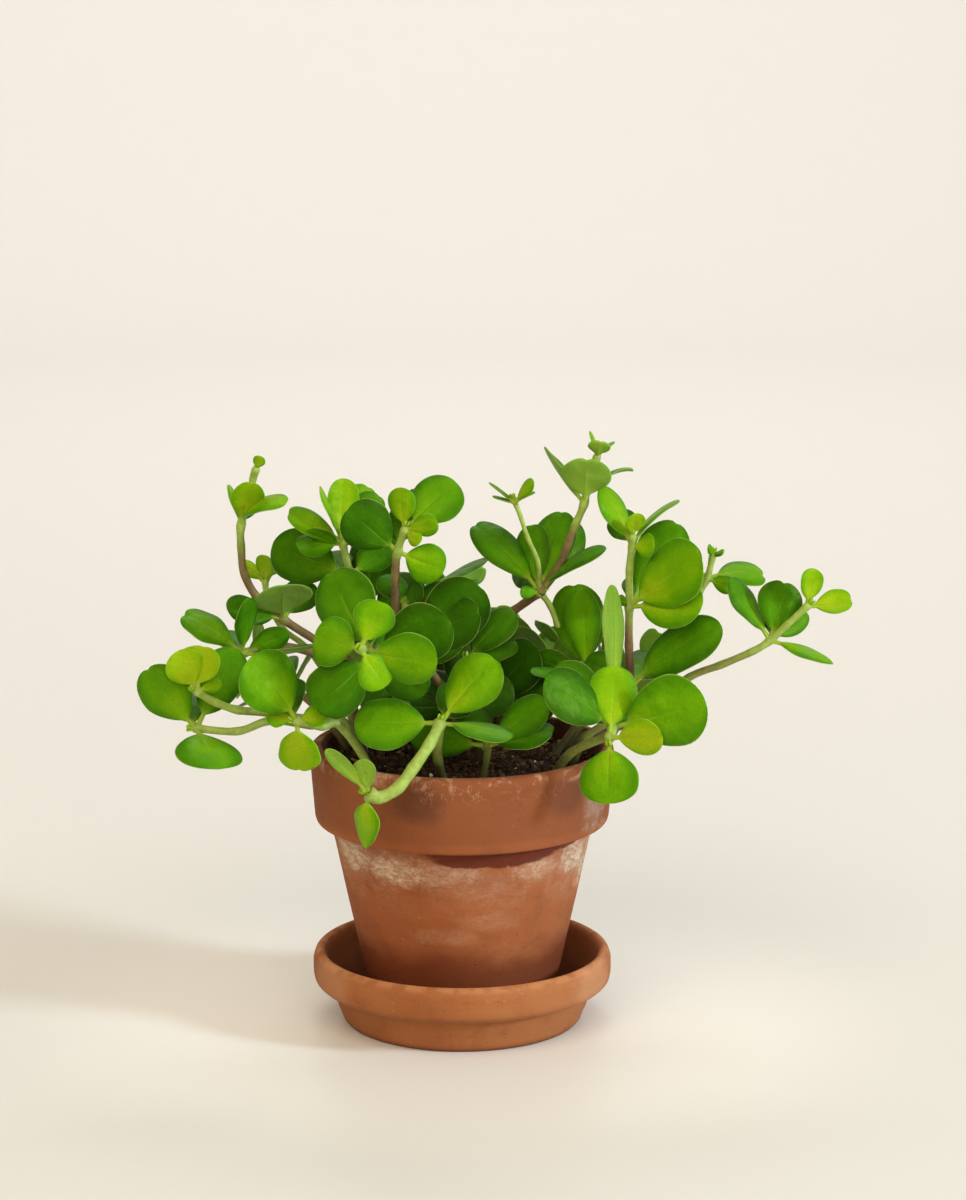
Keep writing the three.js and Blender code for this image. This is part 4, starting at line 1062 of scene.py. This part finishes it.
def add_stem(shape, stem, nodes, draw):
    """One stem with a swelling at each of its nodes, and a rounded tip."""
    radius, points, wood, green_from = stem
    knots = [np.array(p, dtype=float) for p in points]
    last = len(knots) - 1
    positions = []
    for i in range(last):
        count = max(2, round(np.linalg.norm(knots[i + 1] - knots[i]) / STEM_STEP))
        positions.extend(i + k / count for k in range(count))
    positions.append(last)
    path = np.array([curve_point(knots, p) for p in positions])
    shares = np.array(positions) / last
    radii = radius[0] + (radius[1] - radius[0]) * shares
    marks = [(knots[i], SWELL) for i in nodes]
    marks += [(knots[i], SLIGHT_SWELL) for i in range(1, last) if i not in nodes]
    swollen = np.zeros(len(path))
    for place, much in marks:
        away = np.linalg.norm(path - place, axis=1)
        swollen = np.maximum(swollen, much * np.exp(-((away / SWELL_REACH) ** 2)))
    ripple = np.array([noise.noise(Vector(p * 0.35)) for p in path]) * RIPPLE
    radii = radii * (1 + swollen + ripple)
    tip = path[-1] + unit(path[-1] - path[-2]) * (STEM_TIP - radii[-1] * 0.5)
    path = np.concatenate([path, [tip]])
    radii = np.append(radii, radii[-1] * 0.9)
    shares = np.append(shares, 1)
    swollen = np.append(swollen, swollen[-1])
    woody = wood * (1 - smooth(green_from - 0.14, green_from + 0.04, shares)) * (1 - 1.6 * swollen)
    growth = np.stack([np.zeros(len(path)), np.clip(woody, 0, 1), np.full(len(path), draw.random())], 1)
    add_tube(shape, path, radii, STEM_SIDES, 1, growth)


ACROSS = [0, 0.05, 0.12, 0.25, 0.42, 0.6, 0.77, 0.9, 0.97]
TOP_LINE = [-x for x in ACROSS[:0:-1]] + ACROSS
LOOP = np.array([-1.0] + TOP_LINE + [1.0] + TOP_LINE[::-1])
LOOP_UNDER = np.array([0.5] + [0.0] * len(TOP_LINE) + [0.5] + [1.0] * len(TOP_LINE))
LOOP_SIGN = np.array([0.0] + [1.0] * len(TOP_LINE) + [0.0] + [-1.0] * len(TOP_LINE))
BLADE_STEPS = 20


def half_width(shares, width, point):
    """The solid's outline, with its stalk running smoothly into its blade. point is 1 for a sharp tip."""
    end = OUTLINE_END + point * (POINTED_END - OUTLINE_END)
    widest = OUTLINE_START / (OUTLINE_START + end)
    along = np.clip((shares - PETIOLE_SHARE) / (1 - PETIOLE_SHARE), 0, 1)
    blade = 0.5 * width * (along / widest) ** OUTLINE_START * ((1 - along) / (1 - widest)) ** end
    flare = 1 + 0.5 * np.exp(-shares / 0.04)
    stalk = PETIOLE_RADIUS * flare * (1 - along)
    return (blade**4 + stalk**4) ** 0.25


def leaf_shares():
    stalk = [0, 0.05, 0.1, 0.14]
    blade = [math.sin(math.pi / 2 * k / BLADE_STEPS) ** 2 for k in range(1, BLADE_STEPS)]
    return np.array(stalk + [PETIOLE_SHARE + (1 - PETIOLE_SHARE) * b for b in blade])


def add_leaf(shape, base, facing, leaf, draw):
    """One fleshy leaf on the stem's place base, with its upper side turned to where its whorl faces."""
    out, length, width, youth, bend, roll, point = leaf
    face = unit(facing - out * np.dot(facing, out))
    up = turned(face, out, math.radians(roll))
    side = np.cross(out, up)
    arc = math.radians(bend)
    cup = (-CUP if bend > 0 else YOUNG_CUP) * 2 / width
    start = base + out * PETIOLE_START
    shares = leaf_shares()[:, None]
    small = min(1.0, width / FULL_WIDTH)

    sway = draw.uniform(-SWAY, SWAY) * length * np.sin(math.pi * shares)
    wave = draw.uniform(0.1, 0.35) * small
    beats, phase = draw.uniform(1.2, 2.4), draw.uniform(0, 6.3)
    uneven = 1 + 0.02 * np.sin(2 * math.pi * shares * draw.uniform(1, 2.5) + draw.uniform(0, 6.3))
    notch = draw.choice([0, 0, 0.5, 0.9]) * small
    fold = draw.uniform(0.15, 0.5) * small
    twist = math.radians(draw.uniform(-TWIST, TWIST)) * (shares - 0.4)

    wide = half_width(shares, width, point) * uneven
    across = wide * LOOP
    blade = smooth(0.1, 0.3, shares)
    plump = (HALF_THICK * (0.75 + 0.25 * small)) * (1 - shares**7) ** 0.5
    section = (1 - np.abs(LOOP) ** 2.6) ** 0.5
    lift = LOOP_SIGN * plump * section
    groove = np.exp(-((across / 0.6) ** 2)) * blade * smooth(0.95, 0.55, shares)
    lift = lift - np.where(LOOP_SIGN > 0, 0.16, 0.24) * small * groove
    ruffle = wave * np.sin(2 * math.pi * beats * shares + phase) * LOOP * np.abs(LOOP) * blade
    crease = fold * blade * (np.abs(LOOP) - 0.35)
    off = cup * across**2 + lift + ruffle + crease + np.sin(twist) * across

    turn = arc * (0.5 - shares)
    forward = (length / arc) * (math.sin(arc / 2) - np.sin(turn))
    raised = (length / arc) * (np.cos(turn) - math.cos(arc / 2))
    pulled = notch * np.exp(-((across / 1.5) ** 2)) * smooth(0.88, 1.0, shares)
    flat = forward - pulled - off * np.sin(turn)
    high = raised + off * np.cos(turn)
    points = (start + flat[..., None] * out + high[..., None] * up
              + (across + sway)[..., None] * side)

    rows, columns = len(shares), len(LOOP)
    tip_forward = (length / arc) * 2 * math.sin(arc / 2) - notch
    tip = start + tip_forward * out
    flat_points = np.concatenate([points.reshape(-1, 3), [start, tip]])
    faces = skin(rows, columns)
    faces += fan(rows * columns, 0, columns, flipped=True)
    faces += fan(rows * columns + 1, (rows - 1) * columns, columns)

    blade_values = np.zeros((len(flat_points), 3))
    blade_values[:-2, 0] = np.tile(LOOP, rows)
    blade_values[:-2, 1] = np.repeat(shares.ravel(), columns)
    blade_values[:-2, 2] = np.tile(LOOP_UNDER, rows)
    blade_values[-1] = (0, 1, 0.5)
    growth = np.array([youth, 0, draw.random()])
    shape.add(flat_points, faces, 0, blade_values, growth)


def cosine(degrees):
    return math.cos(math.radians(degrees))


def front_shoot(seed, stems, whorls):
    draws = seeded_draws(seed)

    def swung(angle, most):
        drawn = 2 * next(draws) - 1
        swing = most * (math.copysign(LEAST_SWING, drawn) + (1 - LEAST_SWING) * drawn)
        return angle if abs(angle) >= STEADY else angle + swing

    def grown(clock, tilt, length, width, youth, bend=12, roll=0, point=0):
        leaned = swung(tilt, LEAN)
        rolled = swung(roll, TURN)
        longer = length * cosine(tilt) / cosine(leaned)
        wider = width * cosine(roll) / cosine(rolled)
        return heading(clock, leaned), longer, wider, youth, bend, rolled, point

    rows = [(stem, at, heading(clock, tilt), [grown(*leaf) for leaf in leaves])
            for stem, at, clock, tilt, leaves in whorls]
    return stems, rows


def back_shoot(bearing, root, reach, height, whorls, seed):
    draws = seeded_draws(seed)

    def spread(low, high):
        return low + (high - low) * next(draws)

    turn = math.radians(bearing)

    def placed(distance, level):
        return (distance * math.cos(turn), distance * math.sin(turn), level)

    points = [placed(root, ROOT_DEPTH)]
    for out_share, up_share in BACK_BOW:
        level = ROOT_DEPTH + up_share * (height - ROOT_DEPTH)
        points.append(placed(root + out_share * (reach - root), level))
    rows = []
    across = np.array([-math.sin(turn), math.cos(turn), 0])
    for row in range(whorls):
        at = len(points) - whorls + row
        grows = unit(np.array(points[at]) - np.array(points[at - 1]))
        upward = np.cross(grows, across)
        level = len(BACK_LEAVES) - whorls + row
        count = BACK_LEAVES[level]
        first = spread(0, 360 / count)
        leaves = []
        for i in range(count):
            round_angle = math.radians(first + 360 * i / count + spread(-BACK_UNEVEN, BACK_UNEVEN))
            rise = math.radians(spread(*BACK_RISE))
            length = spread(*BACK_LENGTH) * (1 - BACK_SHRINK * row)
            out = across * math.cos(round_angle) + upward * math.sin(round_angle)
            out = unit(out * math.cos(rise) + grows * math.sin(rise))
            roll = spread(-BACK_UNEVEN, BACK_UNEVEN)
            leaves.append((out, length, length * BACK_WIDTH, BACK_YOUTH[level], BACK_BEND, roll, 0))
        rows.append((0, at, grows, leaves))
    return [(BACK_STEM_RADIUS, points) + BACK_WOOD], rows


def add_bud(shape, base, way, draw):
    """The closed tip between the last leaves, as two small leaflets that hold together."""
    side = unit(np.cross(way, (0.3, 0.9, 0.1)))
    for turn in (0.0, math.pi):
        out = unit(way + 0.22 * turned(side, way, turn))
        inward = -turned(side, way, turn)
        leaf = (out, 4.2, 2.6, 0.95, 14, 0, 0)
        add_leaf(shape, base - out * 0.5, inward, leaf, draw)


def leafy_stem(name, shoot, finishes):
    stems, rows = shoot
    draw = random.Random(name)
    shape = Shape()
    for number, stem in enumerate(stems):
        nodes = {at for stem_number, at, _, _ in rows if stem_number == number}
        if number:
            nodes.add(0)
        add_stem(shape, stem, nodes, draw)
    for stem, at, facing, leaves in rows:
        points = stems[stem][1]
        base = np.array(points[at], dtype=float)
        for leaf in leaves:
            add_leaf(shape, base, facing, leaf, draw)
        if at == len(points) - 1:
            add_bud(shape, base, unit(base - np.array(points[at - 1])), draw)
    shape.piece("leafy_" + name.removeprefix("stem_"), finishes, "plant", name)


# The room

FLOOR_RADIUS = 2.1
COVE = 1.1
COVE_STEPS = 24
WALL_HIGH = 1.9
PAPER_STEPS = 96
# Painted light and shade on the paper: lighter under the object, darker in a ring beside it
PAPER_LIGHT_AND_SHADE = (0xDFDAD1, 0xD2CEC6, 0xD5D1CA)  # under the object, beside it and further out
WORLD_COLOUR = (1.0, 0.88, 0.69, 1.0)
WORLD_STRENGTH = 0.52

# Each lamp has a place, what it is aimed at, a size, a power in watts, a colour and a spread in degrees
LAMPS = {
    "key": ((2.7, -1.08, 1.18), (0, 0, 0.12), 0.55, 16, (0.75, 0.94, 1.13), 84),
    "fill": ((-0.3, -2.25, 1.85), (0, 0, 0.1), 3.3, 70, (1.0, 0.92, 0.775), 180),
    "wall": ((0.1, 1.5, 2.2), (0.1, 2.7, 0.3), 1.4, 36, (0.93, 0.97, 1.05), 180),
}


def backdrop():
    """A round sheet of paper under the object, which rises to a wall all round it."""
    look = Look("paper")
    away = look.from_axis()
    # Painted light under the object and painted shade in a ring round it
    colour = look.between(away.ramp(0.1, 0.2), PAPER_LIGHT_AND_SHADE).tinted(PAPER_LIGHT_AND_SHADE[2], away.ramp(0.21, 0.36))
    colour = colour.shade(0.98 + look.noise(900, 3) * 0.04)
    finish = look.finished(Base_Color=colour, Roughness=0.4, Specular_IOR_Level=0.14)
    line = [(0.4, 0.0), (1.2, 0.0), (FLOOR_RADIUS, 0.0)]
    for k in range(1, COVE_STEPS + 1):
        angle = math.pi / 2 * k / COVE_STEPS
        line.append((FLOOR_RADIUS + COVE * math.sin(angle), COVE * (1 - math.cos(angle))))
    line.append((FLOOR_RADIUS + COVE, WALL_HIGH))
    points = [(x, y, level) for far, level in line for x, y in ring(far, PAPER_STEPS)]
    points.append((0.0, 0.0, 0.0))
    faces = [face[::-1] for face in skin(len(line), PAPER_STEPS)]
    faces += fan(len(points) - 1, 0, PAPER_STEPS)
    mesh_object("paper", points, faces, [finish])


def lamp(name, place, aim, size, power, colour, spread):
    data = bpy.data.lights.new(name, "AREA")
    data.shape = "DISK"
    data.size = size
    data.energy = power
    data.color = colour
    data.spread = math.radians(spread)
    lamp_object = bpy.data.objects.new(name, data)
    lamp_object.location = place
    way = Vector(aim) - Vector(place)
    lamp_object.visible_camera = False
    lamp_object.rotation_euler = way.to_track_quat("-Z", "Y").to_euler()
    bpy.context.scene.collection.objects.link(lamp_object)


def room():
    scene = bpy.context.scene
    scene.view_settings.view_transform = "Standard"
    world = bpy.data.worlds.new("world")
    scene.world = world
    world.use_nodes = True
    ground = world.node_tree.nodes["Background"]
    ground.inputs["Color"].default_value = WORLD_COLOUR
    ground.inputs["Strength"].default_value = WORLD_STRENGTH
    backdrop()
    for name, numbers in LAMPS.items():
        lamp(name, *numbers)


def camera():
    data = bpy.data.cameras.new("camera")
    data.sensor_fit = "VERTICAL"
    data.sensor_height = CAMERA_SENSOR
    data.sensor_width = CAMERA_SENSOR
    data.lens = CAMERA_LENS
    data.clip_end = 30
    eye = bpy.data.objects.new("camera", data)
    eye.location = CAMERA_PLACE
    eye.rotation_euler = (math.radians(90 - CAMERA_PITCH), 0, 0)
    bpy.context.scene.collection.objects.link(eye)
    bpy.context.scene.camera = eye


def build():
    camera()
    room()
    turned_piece("clay_saucer", saucer_profile(), saucer_clay(), "saucer_clay", "saucer", closed=False)
    turned_piece("clay_pot", pot_profile(), pot_clay(), "pot_clay", "pot", closed=True)
    soil_bed(soil_finish("soil", SOIL, 0.15))
    scattered("soil_crumbs", soil_finish("crumb", CRUMB, 0.25), seed=5, count=900, sizes=(0.5, 1.9), flat=0.8)
    scattered("soil_perlite", grit_finish("perlite", PERLITE), seed=9, count=60, sizes=(0.4, 1.0), flat=0.8,
              near_rim=0.3)
    scattered("soil_chips", grit_finish("chip", CHIP), seed=14, count=26, sizes=(1.0, 2.2), flat=0.35)
    soil_fibres(grit_finish("fibre", FIBRE))
    finishes = [leaf_finish(), stalk_finish()]
    for name, numbers in SHOOTS.items():
        leafy_stem(name, front_shoot(*numbers), finishes)
    for name, numbers in BACK_SHOOTS.items():
        leafy_stem(name, back_shoot(*numbers), finishes)


build()
